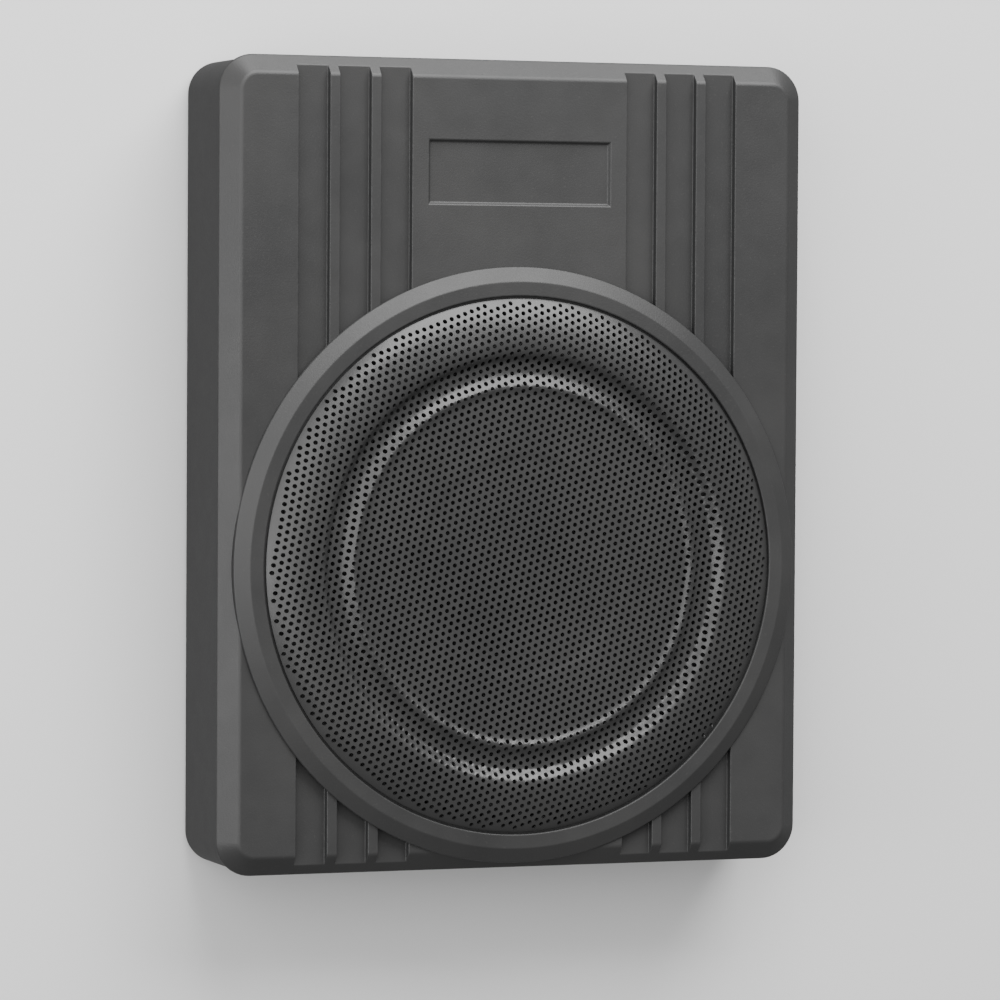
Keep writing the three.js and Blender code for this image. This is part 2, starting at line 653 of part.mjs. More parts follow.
function makeFoot() {
  const top = FOOT_HEIGHT - FIT;
  return turned([
    [0, 0], [FOOT_RADIUS - FOOT_EDGE, 0], [FOOT_RADIUS, FOOT_EDGE], [FOOT_RADIUS, top], [0, top],
  ], SIDES_SMALL);
}

// A slotted screw that points up, head below.
function makeCoverScrew() {
  const headTop = HEAD_SEAT - FIT;
  const headBottom = headTop - SCREW_HEAD_HEIGHT;
  const tip = FLAT_Z - SCREW_TIP_BELOW_FLAT;
  const body = turned([
    [0, headBottom], [SCREW_HEAD - HEAD_EDGE, headBottom], [SCREW_HEAD, headBottom + HEAD_EDGE],
    [SCREW_HEAD, headTop], [SCREW_SHANK, headTop], [SCREW_SHANK, tip - SCREW_POINT],
    [SCREW_SHANK - SCREW_POINT, tip], [0, tip],
  ], SIDES_SCREW);
  const reach = SCREW_HEAD - SLOT_END;
  const half = SLOT_WIDTH / 2;
  return cut(body, box(-reach, reach, -half, half, headBottom - OVERRUN, headBottom + SLOT_DEPTH));
}

function buildHousing() {
  const housing = addGroup(0, 0, 0);
  addPiece(housing, 'base_housing', makeBase(), PAINT);
  addPiece(housing, 'cover_gasket', makeGasket(), RUBBER);
  addPiece(housing, 'top_cover', makeCover(), PAINT);
  addPiece(housing, 'grille_ring', makeRing(), PAINT);
  addPiece(housing, 'grille_mesh', makeGrille(), COATED_STEEL);
  COVER_SCREWS.forEach(([x, y], i) => {
    addPiece(housing, `cover_screw_${i + 1}`, makeCoverScrew(), DARK_ZINC, [x, y, 0]);
  });
  const footX = WIDTH / 2 - FOOT_INSET;
  const footY = LENGTH / 2 - FOOT_INSET;
  [[1, 1], [-1, 1], [1, -1], [-1, -1]].forEach(([sx, sy], i) => {
    addPiece(housing, `foot_${i + 1}`, makeFoot(), RUBBER, [sx * footX, sy * footY, 0]);
  });
}

// ---- Woofer, built about its own axis ----

const LANDING_Z = BASKET_BOTTOM + LANDING_STEP + BASKET_SHEET;
const WINDING_BOTTOM = TOP_PLATE_BOTTOM + (TOP_PLATE - WINDING_HEIGHT) / 2;
const CONE_RIM_Z = SEAT_Z - CONE_RIM_BELOW_SEAT;
const CONE_NECK_Z = CONE_RIM_Z - CONE_DEPTH;
const CONE_NECK_RADIUS = FORMER_RADIUS + FIT;
const STEP_INNER = YOKE_RADIUS - BASKET_STEP_RUN / 2 - BASKET_STEP_BACK; // foot of the basket's step

function wooferScrewPlaces() {
  return Array.from({ length: WOOFER_SCREWS }, (_, i) => (
    polar(FLANGE_RADIUS - WOOFER_SCREW_IN, (i + 0.5) * 2 * Math.PI / WOOFER_SCREWS)));
}

function wooferScrewHoles(z0, z1) {
  return wooferScrewPlaces().map(([x, y]) => (
    rod(WOOFER_SCREW_SHANK + FIT, z0, z1, SIDES_SCREW).translate(x, y, 0)));
}

// The window between two spokes; spokes have parallel sides.
function basketWindow(index) {
  const from = Math.PI / 2 + index * 2 * Math.PI / SPOKES;
  const to = from + 2 * Math.PI / SPOKES;
  const steps = 2;
  const inner = Math.asin(SPOKE_WIDTH / 2 / WINDOW_INNER);
  const outer = Math.asin(SPOKE_WIDTH / 2 / WINDOW_OUTER);
  const points = [];
  for (let i = 0; i <= steps; i += 1) {
    const angle = from + outer + (to - from - 2 * outer) * i / steps;
    points.push(new THREE.Vector2(...polar(WINDOW_OUTER, angle)));
  }
  for (let i = steps; i >= 0; i -= 1) {
    const angle = from + inner + (to - from - 2 * inner) * i / steps;
    points.push(new THREE.Vector2(...polar(WINDOW_INNER, angle)));
  }
  const options = { depth: FLANGE_BOTTOM - BASKET_BOTTOM, bevelEnabled: false };
  return new THREE.ExtrudeGeometry(new THREE.Shape(points), options).translate(0, 0, BASKET_BOTTOM);
}

function makeBasket() {
  const neck = TOP_PLATE_BORE + FIT;
  const plateTop = BASKET_BOTTOM + BASKET_SHEET;
  const shoulder = BASKET_WALL_RADIUS - BASKET_SHOULDER_IN;
  const shoulderZ = LANDING_Z + BASKET_SHOULDER_RISE;
  const inside = BASKET_WALL_RADIUS - BASKET_SHEET;
  const bowl = turned([
    [neck, BASKET_BOTTOM],
    [YOKE_RADIUS - BASKET_STEP_RUN / 2, BASKET_BOTTOM],
    [YOKE_RADIUS + BASKET_STEP_RUN / 2, LANDING_Z - BASKET_SHEET],
    [LANDING_RADIUS, LANDING_Z - BASKET_SHEET],
    [shoulder, shoulderZ - BASKET_SHEET],
    [BASKET_WALL_RADIUS, FLANGE_BOTTOM],
    [FLANGE_RADIUS, FLANGE_BOTTOM],
    [FLANGE_RADIUS, FLANGE_TOP],
    [inside, FLANGE_TOP],
    [shoulder - BASKET_SHEET, shoulderZ],
    [LANDING_RADIUS, LANDING_Z],
    [STEP_INNER + BASKET_STEP_RUN, LANDING_Z],
    [STEP_INNER, plateTop],
    [neck, plateTop],
  ], SIDES_LARGE);
  const windows = Array.from({ length: SPOKES }, (_, i) => basketWindow(i));
  return cut(bowl, ...windows, ...wooferScrewHoles(FLANGE_BOTTOM - OVERRUN, FLANGE_TOP + OVERRUN));
}

function makeWooferGasket() {
  const z0 = SEAT_Z + FIT;
  const z1 = z0 + FLANGE_GASKET;
  return cut(
    band(SEAT_HOLE, FLANGE_RADIUS, z0, z1, SIDES_LARGE),
    ...wooferScrewHoles(z0 - OVERRUN, z1 + OVERRUN),
  );
}

function makeWooferScrew() {
  const seat = FLANGE_TOP + FIT;
  const top = seat + WOOFER_SCREW_HEAD_HEIGHT;
  const tip = SEAT_Z - COVER_SKIN - WOOFER_SCREW_TIP;
  const body = turned([
    [0, tip], [WOOFER_SCREW_SHANK - SCREW_POINT, tip], [WOOFER_SCREW_SHANK, tip + WOOFER_SCREW_POINT],
    [WOOFER_SCREW_SHANK, seat], [WOOFER_SCREW_HEAD, seat], [WOOFER_SCREW_HEAD, top - HEAD_EDGE],
    [WOOFER_SCREW_HEAD - HEAD_EDGE, top], [0, top],
  ], SIDES_SCREW);
  const reach = WOOFER_SCREW_HEAD - WOOFER_SLOT_END;
  const half = WOOFER_SLOT_WIDTH / 2;
  return cut(body, box(-reach, reach, -half, half, top - WOOFER_SLOT_DEPTH, top + OVERRUN));
}

function makeYoke() {
  const plateTop = YOKE_BOTTOM + YOKE_PLATE;
  return turned([
    [POLE_VENT, YOKE_BOTTOM], [YOKE_RADIUS - YOKE_EDGE, YOKE_BOTTOM], [YOKE_RADIUS, YOKE_BOTTOM + YOKE_EDGE],
    [YOKE_RADIUS, plateTop], [POLE_RADIUS, plateTop], [POLE_RADIUS, TOP_PLATE_TOP],
    [POLE_VENT, TOP_PLATE_TOP],
  ], SIDES_MEDIUM);
}

function makeCone() {
  const span = CONE_RADIUS - CONE_NECK_RADIUS;
  const line = CONE_SHARES.map((share) => [
    CONE_NECK_RADIUS + span * share, CONE_NECK_Z + CONE_DEPTH * share ** CONE_CURVE,
  ]);
  return sheet(line, CONE_SHEET, SIDES_MEDIUM);
}

function coneHeightAt(radius) {
  const share = (radius - CONE_NECK_RADIUS) / (CONE_RADIUS - CONE_NECK_RADIUS);
  return CONE_NECK_Z + CONE_DEPTH * share ** CONE_CURVE;
}

function makeDustCap() {
  const rimZ = coneHeightAt(CAP_RADIUS) + FIT + CAP_RIM_LIFT;
  const line = CAP_SHARES.map((share) => [
    CAP_RADIUS * share, rimZ + CAP_RISE * (1 - share ** 2),
  ]);
  return sheet(line, CAP_SHEET, SIDES_MEDIUM);
}

function makeSurround() {
  const innerZ = CONE_RIM_Z + FIT + SURROUND_SHEET;
  const outerZ = FLANGE_TOP + FIT + SURROUND_SHEET;
  const rollEnd = SURROUND_OUTER - SURROUND_GLUE;
  const line = [[CONE_RADIUS - SURROUND_GLUE, innerZ]];
  for (let i = 0; i <= ROLL_STEPS; i += 1) {
    const share = i / ROLL_STEPS;
    const roll = ROLL_RISE * Math.sin(Math.PI * share) ** ROLL_FULLNESS;
    line.push([CONE_RADIUS + (rollEnd - CONE_RADIUS) * share, innerZ + (outerZ - innerZ) * share + roll]);
  }
  line.push([SURROUND_OUTER, outerZ]);
  return sheet(line, SURROUND_SHEET, SIDES_MEDIUM);
}

function makeSpider() {
  const waveStart = CONE_NECK_RADIUS + SPIDER_COLLAR;
  const outerZ = LANDING_Z + FIT + SPIDER_SHEET;
  const steps = SPIDER_WAVES * SPIDER_WAVE_STEPS;
  const line = [[CONE_NECK_RADIUS, outerZ + SPIDER_RISE]];
  for (let i = 0; i <= steps; i += 1) {
    const share = i / steps;
    const wave = SPIDER_WAVE * Math.sin(2 * Math.PI * SPIDER_WAVES * share);
    line.push([waveStart + (STEP_INNER - waveStart) * share, outerZ + SPIDER_RISE * (1 - share) + wave]);
  }
  line.push([LANDING_RADIUS - SPIDER_RIM_IN, outerZ]);
  return sheet(line, SPIDER_SHEET, SIDES_MEDIUM);
}

// A round wire or braid along a smooth line through the points.
function tube(points, radius, steps) {
  const path = new THREE.CatmullRomCurve3(points.map((p) => new THREE.Vector3(...p)));
  const section = new THREE.Shape();
  section.absarc(0, 0, radius, 0, Math.PI * 2);
  return new THREE.ExtrudeGeometry(section, { steps, extrudePath: path, curveSegments: 4 });
}

function buildWoofer() {
  const woofer = addGroup(0, RING_Y, 0);
  const formerBottom = WINDING_BOTTOM - FORMER_BELOW_WINDING;
  const magnetTop = MAGNET_BOTTOM + MAGNET_HEIGHT;
  addPiece(woofer, 'yoke', makeYoke(), ZINC);
  addPiece(woofer, 'magnet',
    band(TOP_PLATE_BORE + MAGNET_BORE_GAP, MAGNET_RADIUS, MAGNET_BOTTOM, magnetTop, SIDES_MEDIUM), FERRITE);
  addPiece(woofer, 'top_plate',
    band(TOP_PLATE_BORE, YOKE_RADIUS, TOP_PLATE_BOTTOM, TOP_PLATE_TOP, SIDES_MEDIUM), ZINC);
  addPiece(woofer, 'basket', makeBasket(), COATED_STEEL);
  addPiece(woofer, 'woofer_gasket', makeWooferGasket(), RUBBER);
  addPiece(woofer, 'voice_coil_former',
    band(FORMER_RADIUS - FORMER_WALL, FORMER_RADIUS, formerBottom, CONE_NECK_Z + FORMER_ABOVE_NECK,
      SIDES_MEDIUM), PLASTIC);
  addPiece(woofer, 'voice_coil_winding',
    band(CONE_NECK_RADIUS, CONE_NECK_RADIUS + WINDING_WALL, WINDING_BOTTOM,
      WINDING_BOTTOM + WINDING_HEIGHT, SIDES_MEDIUM), COPPER);
  addPiece(woofer, 'spider', makeSpider(), CLOTH);
  addPiece(woofer, 'cone', makeCone(), PAPER);
  addPiece(woofer, 'dust_cap', makeDustCap(), PAPER);
  addPiece(woofer, 'surround', makeSurround(), RUBBER);
  wooferScrewPlaces().forEach(([x, y], i) => {
    addPiece(woofer, `woofer_screw_${i + 1}`, makeWooferScrew(), DARK_ZINC, [x, y, 0]);
  });

  const stripNear = LANDING_RADIUS - STRIP_OVERLAP;
  const stripFar = stripNear + STRIP_DEPTH;
  const stripTop = LANDING_Z - BASKET_SHEET - FIT;
  addPiece(woofer, 'terminal_strip',
    box(-SPOKE_WIDTH, SPOKE_WIDTH, stripNear, stripFar, stripTop - STRIP_THICKNESS, stripTop), PLASTIC);
  const leadX = SPOKE_WIDTH / 2 + LEAD_BESIDE_SPOKE;
  const coneJoint = WINDOW_INNER - CONE_JOINT_IN;
  [1, -1].forEach((side, i) => {
    const route = [
      [side * leadX, WINDOW_INNER + 3, stripTop + FIT + BRAID_RADIUS],
      [side * leadX, WINDOW_INNER + 2, LANDING_Z + 3],
      [side * leadX, WINDOW_INNER - 5, LANDING_Z + 4.5],
      [side * leadX, coneJoint, coneHeightAt(coneJoint) - CONE_SHEET - FIT - BRAID_RADIUS],
    ];
    addPiece(woofer, `tinsel_lead_${i + 1}`, tube(route, BRAID_RADIUS, BRAID_STEPS), COPPER);
  });

  const onFloor = FLOOR_TOP + WIRE_RADIUS + LEAD_CLEARANCE;
  const onBoard = BOARD_TOP + FIT + WIRE_RADIUS;
  const stripUnder = stripTop - STRIP_THICKNESS - FIT - WIRE_RADIUS;
  const boardEdge = BOARD_NEAR_Y - RING_Y;
  const route = [
    [0, stripNear + 4, stripUnder],
    [-1, stripFar + 5, (stripUnder + onFloor) / 2],
    [-5, stripFar + 20, onFloor],
    [-10, boardEdge - 26, onFloor],
    [-14, boardEdge - 10, onFloor + 2],
    [-16, boardEdge - 3, onBoard],
    [-18, boardEdge + 4, onBoard],
  ];
  addPiece(woofer, 'speaker_lead', tube(route, WIRE_RADIUS, WIRE_STEPS), RUBBER);
}

// ---- Amplifier ----

function makeHeatSink() {
  const outline = new THREE.Shape();
  const pitch = (SINK_WIDTH - SINK_FIN) / (SINK_FINS - 1);
  outline.moveTo(SINK_WIDTH, 0);
  outline.lineTo(SINK_WIDTH, SINK_PLATE);
  outline.lineTo(0, SINK_PLATE);
  outline.lineTo(0, 0);
  for (let i = 0; i < SINK_FINS; i += 1) {
    const x = i * pitch;
    if (i > 0) outline.lineTo(x, 0);
    outline.lineTo(x, -SINK_FIN_DEPTH);
    outline.lineTo(x + SINK_FIN, -SINK_FIN_DEPTH);
    if (i < SINK_FINS - 1) outline.lineTo(x + SINK_FIN, 0);
  }
  return new THREE.ExtrudeGeometry(outline, { depth: SINK_HEIGHT, bevelEnabled: false });
}

// A power transistor standing on its legs: case, metal tab and three legs.
function makeTransistor() {
  const half = TRANSISTOR_HALF_WIDTH;
  const legs = [-1, 0, 1].map((i) => box(
    i * LEG_PITCH - LEG_HALF_WIDTH, i * LEG_PITCH + LEG_HALF_WIDTH, LEG_FRONT, LEG_BACK,
    0, TRANSISTOR_BOTTOM + OVERRUN));
  return join(
    box(-half, half, 0, TRANSISTOR_DEPTH, TRANSISTOR_BOTTOM, TRANSISTOR_TOP),
    box(-half, half, 0, TAB_THICKNESS, TRANSISTOR_TOP - OVERRUN, TAB_TOP),
    ...legs,
  );
}

function makeCapacitor() {
  return turned([
    [0, 0], [CAPACITOR_RADIUS, 0], [CAPACITOR_RADIUS, CAPACITOR_HEIGHT - CAPACITOR_EDGE],
    [CAPACITOR_RADIUS - CAPACITOR_EDGE, CAPACITOR_HEIGHT], [0, CAPACITOR_HEIGHT],
  ], SIDES_ROUND_CAN);
}

function makeChokeCore() {
  const upper = CHOKE_HEIGHT - CHOKE_FLANGE;
  return turned([
    [0, 0], [CHOKE_RADIUS, 0], [CHOKE_RADIUS, CHOKE_FLANGE], [CHOKE_WAIST, CHOKE_FLANGE],
    [CHOKE_WAIST, upper], [CHOKE_RADIUS, upper], [CHOKE_RADIUS, CHOKE_HEIGHT], [0, CHOKE_HEIGHT],
  ], SIDES_ROUND_CAN);
}

function makeBoard() {
  const half = BOARD_WIDTH / 2;
  const holes = BOARD_SCREWS.map(([x, y]) => (
    rod(BOARD_SCREW_SHANK + FIT, BOARD_BOTTOM - OVERRUN, BOARD_TOP + OVERRUN, SIDES_SCREW)
      .translate(x, y, 0)));
  return cut(box(-half, half, BOARD_NEAR_Y, BOARD_FAR_Y, BOARD_BOTTOM, BOARD_TOP), ...holes);
}

function makeBoardScrew() {
  const seat = BOARD_TOP + FIT;
  const tip = FLOOR_TOP + BOARD_SCREW_TIP;
  const top = seat + BOARD_SCREW_HEAD_HEIGHT;
  return turned([
    [0, tip], [BOARD_SCREW_SHANK, tip], [BOARD_SCREW_SHANK, seat], [BOARD_SCREW_HEAD, seat],
    [BOARD_SCREW_HEAD, top - HEAD_EDGE], [BOARD_SCREW_HEAD - HEAD_EDGE, top], [0, top],
  ], SIDES_SCREW);
}

function buildAmplifier() {
  const amplifier = addGroup(0, 0, 0);
  const standZ = BOARD_TOP + FIT;
  addPiece(amplifier, 'amp_board', makeBoard(), BOARD);
  BOARD_SCREWS.forEach(([x, y], i) => {
    addPiece(amplifier, `board_screw_${i + 1}`, makeBoardScrew(), ZINC, [x, y, 0]);
  });
  const sinkX = -BOARD_WIDTH / 2 + SINK_FROM_SIDE;
  const sinkY = BOARD_NEAR_Y + SINK_FIN_DEPTH + SINK_FROM_EDGE;
  addPiece(amplifier, 'heat_sink', makeHeatSink(), ALUMINIUM, [sinkX, sinkY, standZ]);
  TRANSISTOR_SHARES.forEach((share, i) => {
    const x = sinkX + SINK_WIDTH * share;
    const y = sinkY + SINK_PLATE + FIT;
    addPiece(amplifier, `transistor_${i + 1}`, makeTransistor(), PLASTIC, [x, y, standZ]);
  });
  const tallY = BOARD_NEAR_Y + TALL_FROM_EDGE;
  [CAPACITOR_X, CAPACITOR_X + 2 * CAPACITOR_RADIUS + CAPACITOR_GAP].forEach((x, i) => {
    addPiece(amplifier, `capacitor_${i + 1}`, makeCapacitor(), PLASTIC, [x, tallY, standZ]);
  });
  const chokeX = BOARD_WIDTH / 2 - CHOKE_FROM_SIDE;
  addPiece(amplifier, 'choke_core', makeChokeCore(), FERRITE, [chokeX, tallY, standZ]);
  const windingZ = CHOKE_FLANGE + FIT;
  addPiece(amplifier, 'choke_winding',
    band(CHOKE_WAIST + FIT, CHOKE_RADIUS - CHOKE_WINDING_IN, windingZ, CHOKE_HEIGHT - windingZ,
      SIDES_ROUND_CAN),
    COPPER, [chokeX, tallY, standZ]);
}

// ---- Connection panel, built with y = 0 at its outer face and z = 0 on the row of knobs ----

const PANEL_MIDDLE = BAY_BOTTOM + BAY_HEIGHT / 2 - ROW_Z;
const POWER_SOCKET = { halfX: 13, halfZ: 7.5, wall: 2, out: 6, back: 10, columns: 3 };
const SPEAKER_SOCKET = { halfX: 9, halfZ: 6, wall: 2, out: 6, back: 10, columns: 2 };

function panelScrewPlaces() {
  const x = BAY_WIDTH / 2 - BAY_END_LIP / 2;
  return [x, -x];
}

function makePanel() {
  const halfX = BAY_WIDTH / 2 - FIT;
  const halfZ = BAY_HEIGHT / 2 - FIT;
  const z0 = PANEL_MIDDLE - halfZ;
  const plate = box(-halfX, halfX, -PANEL_THICKNESS, 0, z0, z0 + 2 * halfZ);
  const through = (radius, x, z = 0) => (
    rodAlongY(radius, -PANEL_THICKNESS - OVERRUN, OVERRUN, SIDES_SMALL).translate(x, 0, z));
  const window = (halfW, halfH, x) => (
    box(x - halfW, x + halfW, -PANEL_THICKNESS - OVERRUN, OVERRUN, -halfH, halfH));
  const sliderHalf = (SLIDER_WIDTH + SWITCH_TRAVEL) / 2 + FIT;
  return cut(
    plate,
    ...panelScrewPlaces().map((x) => through(BOARD_SCREW_SHANK + FIT, x, PANEL_MIDDLE)),
    ...KNOBS.map(([, x]) => through(SHAFT_RADIUS + FIT, x)),
    ...[-0.5, 0.5].map((side) => through(PHONO_BARREL + FIT, PHONO_X + side * PHONO_PITCH)),
    through(LED_RADIUS + FIT, LED_X),
    window(sliderHalf, SLIDER_HEIGHT / 2 + FIT, SWITCH_X),
    window(POWER_SOCKET.halfX + FIT, POWER_SOCKET.halfZ + FIT, POWER_SOCKET_X),
    window(SPEAKER_SOCKET.halfX + FIT, SPEAKER_SOCKET.halfZ + FIT, SPEAKER_SOCKET_X),
  );
}

// A shrouded plug socket: a deep cup with two rows of pins on its floor.
function makeSocket({ halfX, halfZ, wall, out, back, columns }) {
  const floorY = -back + wall;
  const cup = cut(
    box(-halfX, halfX, -back, out, -halfZ, halfZ),
    box(-halfX + wall, halfX - wall, floorY, out + OVERRUN, -halfZ + wall, halfZ - wall),
  );
  const pitch = 2 * (halfX - wall) / columns;
  const pins = [];
  for (let i = 0; i < columns; i += 1) {
    for (const side of [-1, 1]) {
      const x = (i - (columns - 1) / 2) * pitch;
      const z = side * (halfZ - wall) / 2;
      const half = PIN_WIDTH / 2;
      pins.push(box(x - half, x + half, floorY - OVERRUN, floorY + PIN_LENGTH, z - half, z + half));
    }
  }
  return join(cup, ...pins);
}

function makePhonoPair() {
  const back = -PANEL_THICKNESS - FIT;
  const half = PHONO_BODY_HEIGHT / 2;
  const body = box(-PHONO_PITCH, PHONO_PITCH, back - PHONO_BODY_DEPTH, back, -half, half);
  const barrels = [-0.5, 0.5].map((side) => (
    rodAlongY(PHONO_BARREL, back - OVERRUN, PHONO_OUT, SIDES_SMALL).translate(side * PHONO_PITCH, 0, 0)));
  const bores = [-0.5, 0.5].map((side) => (
    rodAlongY(PHONO_BORE, -PHONO_BORE_BACK, PHONO_OUT + OVERRUN, SIDES_SCREW)
      .translate(side * PHONO_PITCH, 0, 0)));
  return cut(join(body, ...barrels), ...bores);
}

// Knob and shaft in one: the shaft runs back through the panel into the potentiometer.
function makeKnob() {
  const face = KNOB_LENGTH + FIT;
  const turnedKnob = turnedAboutY([
    [0, -SHAFT_LENGTH], [SHAFT_RADIUS, -SHAFT_LENGTH], [SHAFT_RADIUS, FIT], [KNOB_RADIUS, FIT],
    [KNOB_RADIUS - KNOB_TAPER, face - KNOB_EDGE], [KNOB_RADIUS - KNOB_TAPER - KNOB_EDGE, face], [0, face],
  ], SIDES_SMALL);
  const half = POINTER_WIDTH / 2;
  const pointer = box(
    -half, half, face - POINTER_DEPTH, face + OVERRUN, POINTER_START, KNOB_RADIUS + OVERRUN);
  return cut(turnedKnob, pointer);
}

function makePot() {
  const front = -PANEL_THICKNESS - FIT;
  return cut(
    box(-POT_WIDTH / 2, POT_WIDTH / 2, front - POT_DEPTH, front, -POT_HEIGHT / 2, POT_HEIGHT / 2),
    rodAlongY(SHAFT_RADIUS + FIT, -SHAFT_LENGTH - FIT, OVERRUN, SIDES_SMALL),
  );
}

function makeSwitchBody() {
  const front = -PANEL_THICKNESS - FIT;
  const slotHalf = (SLIDER_WIDTH + SWITCH_TRAVEL) / 2 + FIT;
  const slotHigh = SLIDER_HEIGHT / 2 + FIT;
  return cut(
    box(-slotHalf - SWITCH_WALL, slotHalf + SWITCH_WALL, front - SWITCH_DEPTH, front,
      -SWITCH_HEIGHT / 2, SWITCH_HEIGHT / 2),
    box(-slotHalf, slotHalf, front - SWITCH_SLOT, OVERRUN, -slotHigh, slotHigh),
  );
}

function makeSlider() {
  const half = SLIDER_WIDTH / 2;
  const high = SLIDER_HEIGHT / 2;
  return box(-half, half, -PANEL_THICKNESS - SLIDER_OUT, SLIDER_OUT, -high, high);
}

function makeLed() {
  const back = -PANEL_THICKNESS - FIT;
  return turnedAboutY([
    [0, back - LED_FLANGE_DEPTH], [LED_FLANGE, back - LED_FLANGE_DEPTH], [LED_FLANGE, back],
    [LED_RADIUS, back], ...LED_DOME,
  ], SIDES_SMALL);
}

function makePanelScrew() {
  const tip = -PANEL_THICKNESS - BAY_LIP_THICKNESS - PANEL_SCREW_TIP;
  const top = FIT + BOARD_SCREW_HEAD_HEIGHT;
  return turnedAboutY([
    [0, tip], [BOARD_SCREW_SHANK, tip], [BOARD_SCREW_SHANK, FIT], [BOARD_SCREW_HEAD, FIT],
    [BOARD_SCREW_HEAD, top - HEAD_EDGE], [BOARD_SCREW_HEAD - HEAD_EDGE, top], [0, top],
  ], SIDES_SCREW);
}

function buildPanel() {
  const panel = addGroup(0, PANEL_Y, ROW_Z);
  addPiece(panel, 'control_panel', makePanel(), PLASTIC);
  addPiece(panel, 'power_socket', makeSocket(POWER_SOCKET), PLASTIC, [POWER_SOCKET_X, 0, 0]);
  addPiece(panel, 'high_level_socket', makeSocket(SPEAKER_SOCKET), PLASTIC, [SPEAKER_SOCKET_X, 0, 0]);
  addPiece(panel, 'phono_jacks', makePhonoPair(), ZINC, [PHONO_X, 0, 0]);
  addPiece(panel, 'phase_switch_body', makeSwitchBody(), ZINC, [SWITCH_X, 0, 0]);
  addPiece(panel, 'phase_switch_slider', makeSlider(), PLASTIC, [SWITCH_X - SWITCH_TRAVEL / 2, 0, 0]);
  addPiece(panel, 'power_led', makeLed(), LENS, [LED_X, 0, 0]);
  for (const [name, x] of KNOBS) {
    addPiece(panel, `${name}_knob`, makeKnob(), PLASTIC, [x, 0, 0]);
    addPiece(panel, `${name}_potentiometer`, makePot(), ZINC, [x, 0, 0]);
  }
  panelScrewPlaces().forEach((x, i) => {
    addPiece(panel, `panel_screw_${i + 1}`, makePanelScrew(), DARK_ZINC, [x, 0, PANEL_MIDDLE]);
  });
}

buildHousing();
buildWoofer();
buildAmplifier();
buildPanel();

export default object;
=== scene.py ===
"""Looks of a slim powered subwoofer that lies flat under a car seat.

Sizes are in millimetres here and are written to the meshes in metres. +Z points out of the
grille and +Y toward the end wall that holds the connection bay. Levels and places come from
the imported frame; what its boxes can't say is a dataclass field of the sub-assembly.
"""

import logging
import math
from collections.abc import Callable, Iterable, Sequence
from dataclasses import dataclass, field
from enum import Enum

import bmesh
import bpy
from mathutils import Matrix, Vector


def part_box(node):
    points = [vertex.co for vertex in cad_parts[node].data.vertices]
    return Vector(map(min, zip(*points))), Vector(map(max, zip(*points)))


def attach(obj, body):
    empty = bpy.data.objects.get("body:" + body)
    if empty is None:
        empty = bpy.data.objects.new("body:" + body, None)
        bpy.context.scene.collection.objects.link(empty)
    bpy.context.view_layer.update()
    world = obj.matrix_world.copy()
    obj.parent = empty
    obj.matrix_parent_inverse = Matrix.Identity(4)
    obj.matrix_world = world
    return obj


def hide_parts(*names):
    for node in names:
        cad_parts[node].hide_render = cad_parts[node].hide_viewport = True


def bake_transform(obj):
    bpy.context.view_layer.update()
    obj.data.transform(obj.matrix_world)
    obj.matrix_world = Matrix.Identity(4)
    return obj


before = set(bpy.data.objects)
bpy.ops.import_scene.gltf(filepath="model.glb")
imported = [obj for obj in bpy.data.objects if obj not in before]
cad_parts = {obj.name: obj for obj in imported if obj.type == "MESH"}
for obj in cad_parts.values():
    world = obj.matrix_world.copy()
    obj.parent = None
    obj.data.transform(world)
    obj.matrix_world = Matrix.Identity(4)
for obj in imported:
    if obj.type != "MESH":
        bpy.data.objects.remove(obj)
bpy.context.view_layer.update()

LOG = logging.getLogger("subwoofer")
MM = 0.001
FINE_MESH = 60000
WELD = 0.004
FIT = 0.3
LARGE, MEDIUM, SMALL, TINY = 192, 128, 48, 24
HOLE_SIDES = 32
SOFT_STEPS = 2
LEAST_CORNER = 0.4
CABINET = "enclosure"
CONE = "cone_assembly"
PANEL_SCREWS = BOARD_SCREWS = 2
COVER_SCREWS = 6
FLANGE_SCREWS = FEET = 4

Piece = bpy.types.Object
Material = bpy.types.Material
Socket = bpy.types.NodeSocket
Point2 = tuple[float, float]
Point3 = tuple[float, float, float]
Colour = tuple[float, float, float]


class Axis(Enum):
    """The direction that a turned piece points along."""

    UP = "Z"
    OUT = "Y"


class Side(Enum):
    """Which way the head of a screw faces."""

    ABOVE = 1
    BELOW = -1


# ---------------------------------------------------------------------------------------
# Places read off the frame
# ---------------------------------------------------------------------------------------


@dataclass(frozen=True)
class Span:
    """The box of one CAD node, in millimetres."""

    low: Vector
    high: Vector

    @classmethod
    def of(cls, node: str) -> "Span":
        """Read the box of a node.

        Args:
            node: Name of the CAD node.

        Returns:
            Its span at rest.
        """
        low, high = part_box(node)
        return cls(low / MM, high / MM)

    @classmethod
    def middles(cls, prefix: str, count: int) -> list[Vector]:
        """Centres of the numbered nodes with one prefix."""
        return [cls.of(f"{prefix}_{i}").middle for i in range(1, count + 1)]

    @property
    def middle(self) -> Vector:
        """Centre of the box."""
        return (self.low + self.high) / 2

    @property
    def size(self) -> Vector:
        """Length of each side of the box."""
        return self.high - self.low


# ---------------------------------------------------------------------------------------
# Mesh making
# ---------------------------------------------------------------------------------------


def place_data(name: str, data: bpy.types.ID) -> Piece:
    """Put a mesh, a light or a camera in the scene as an object."""
    made = bpy.data.objects.new(name, data)
    bpy.context.scene.collection.objects.link(made)
    return made


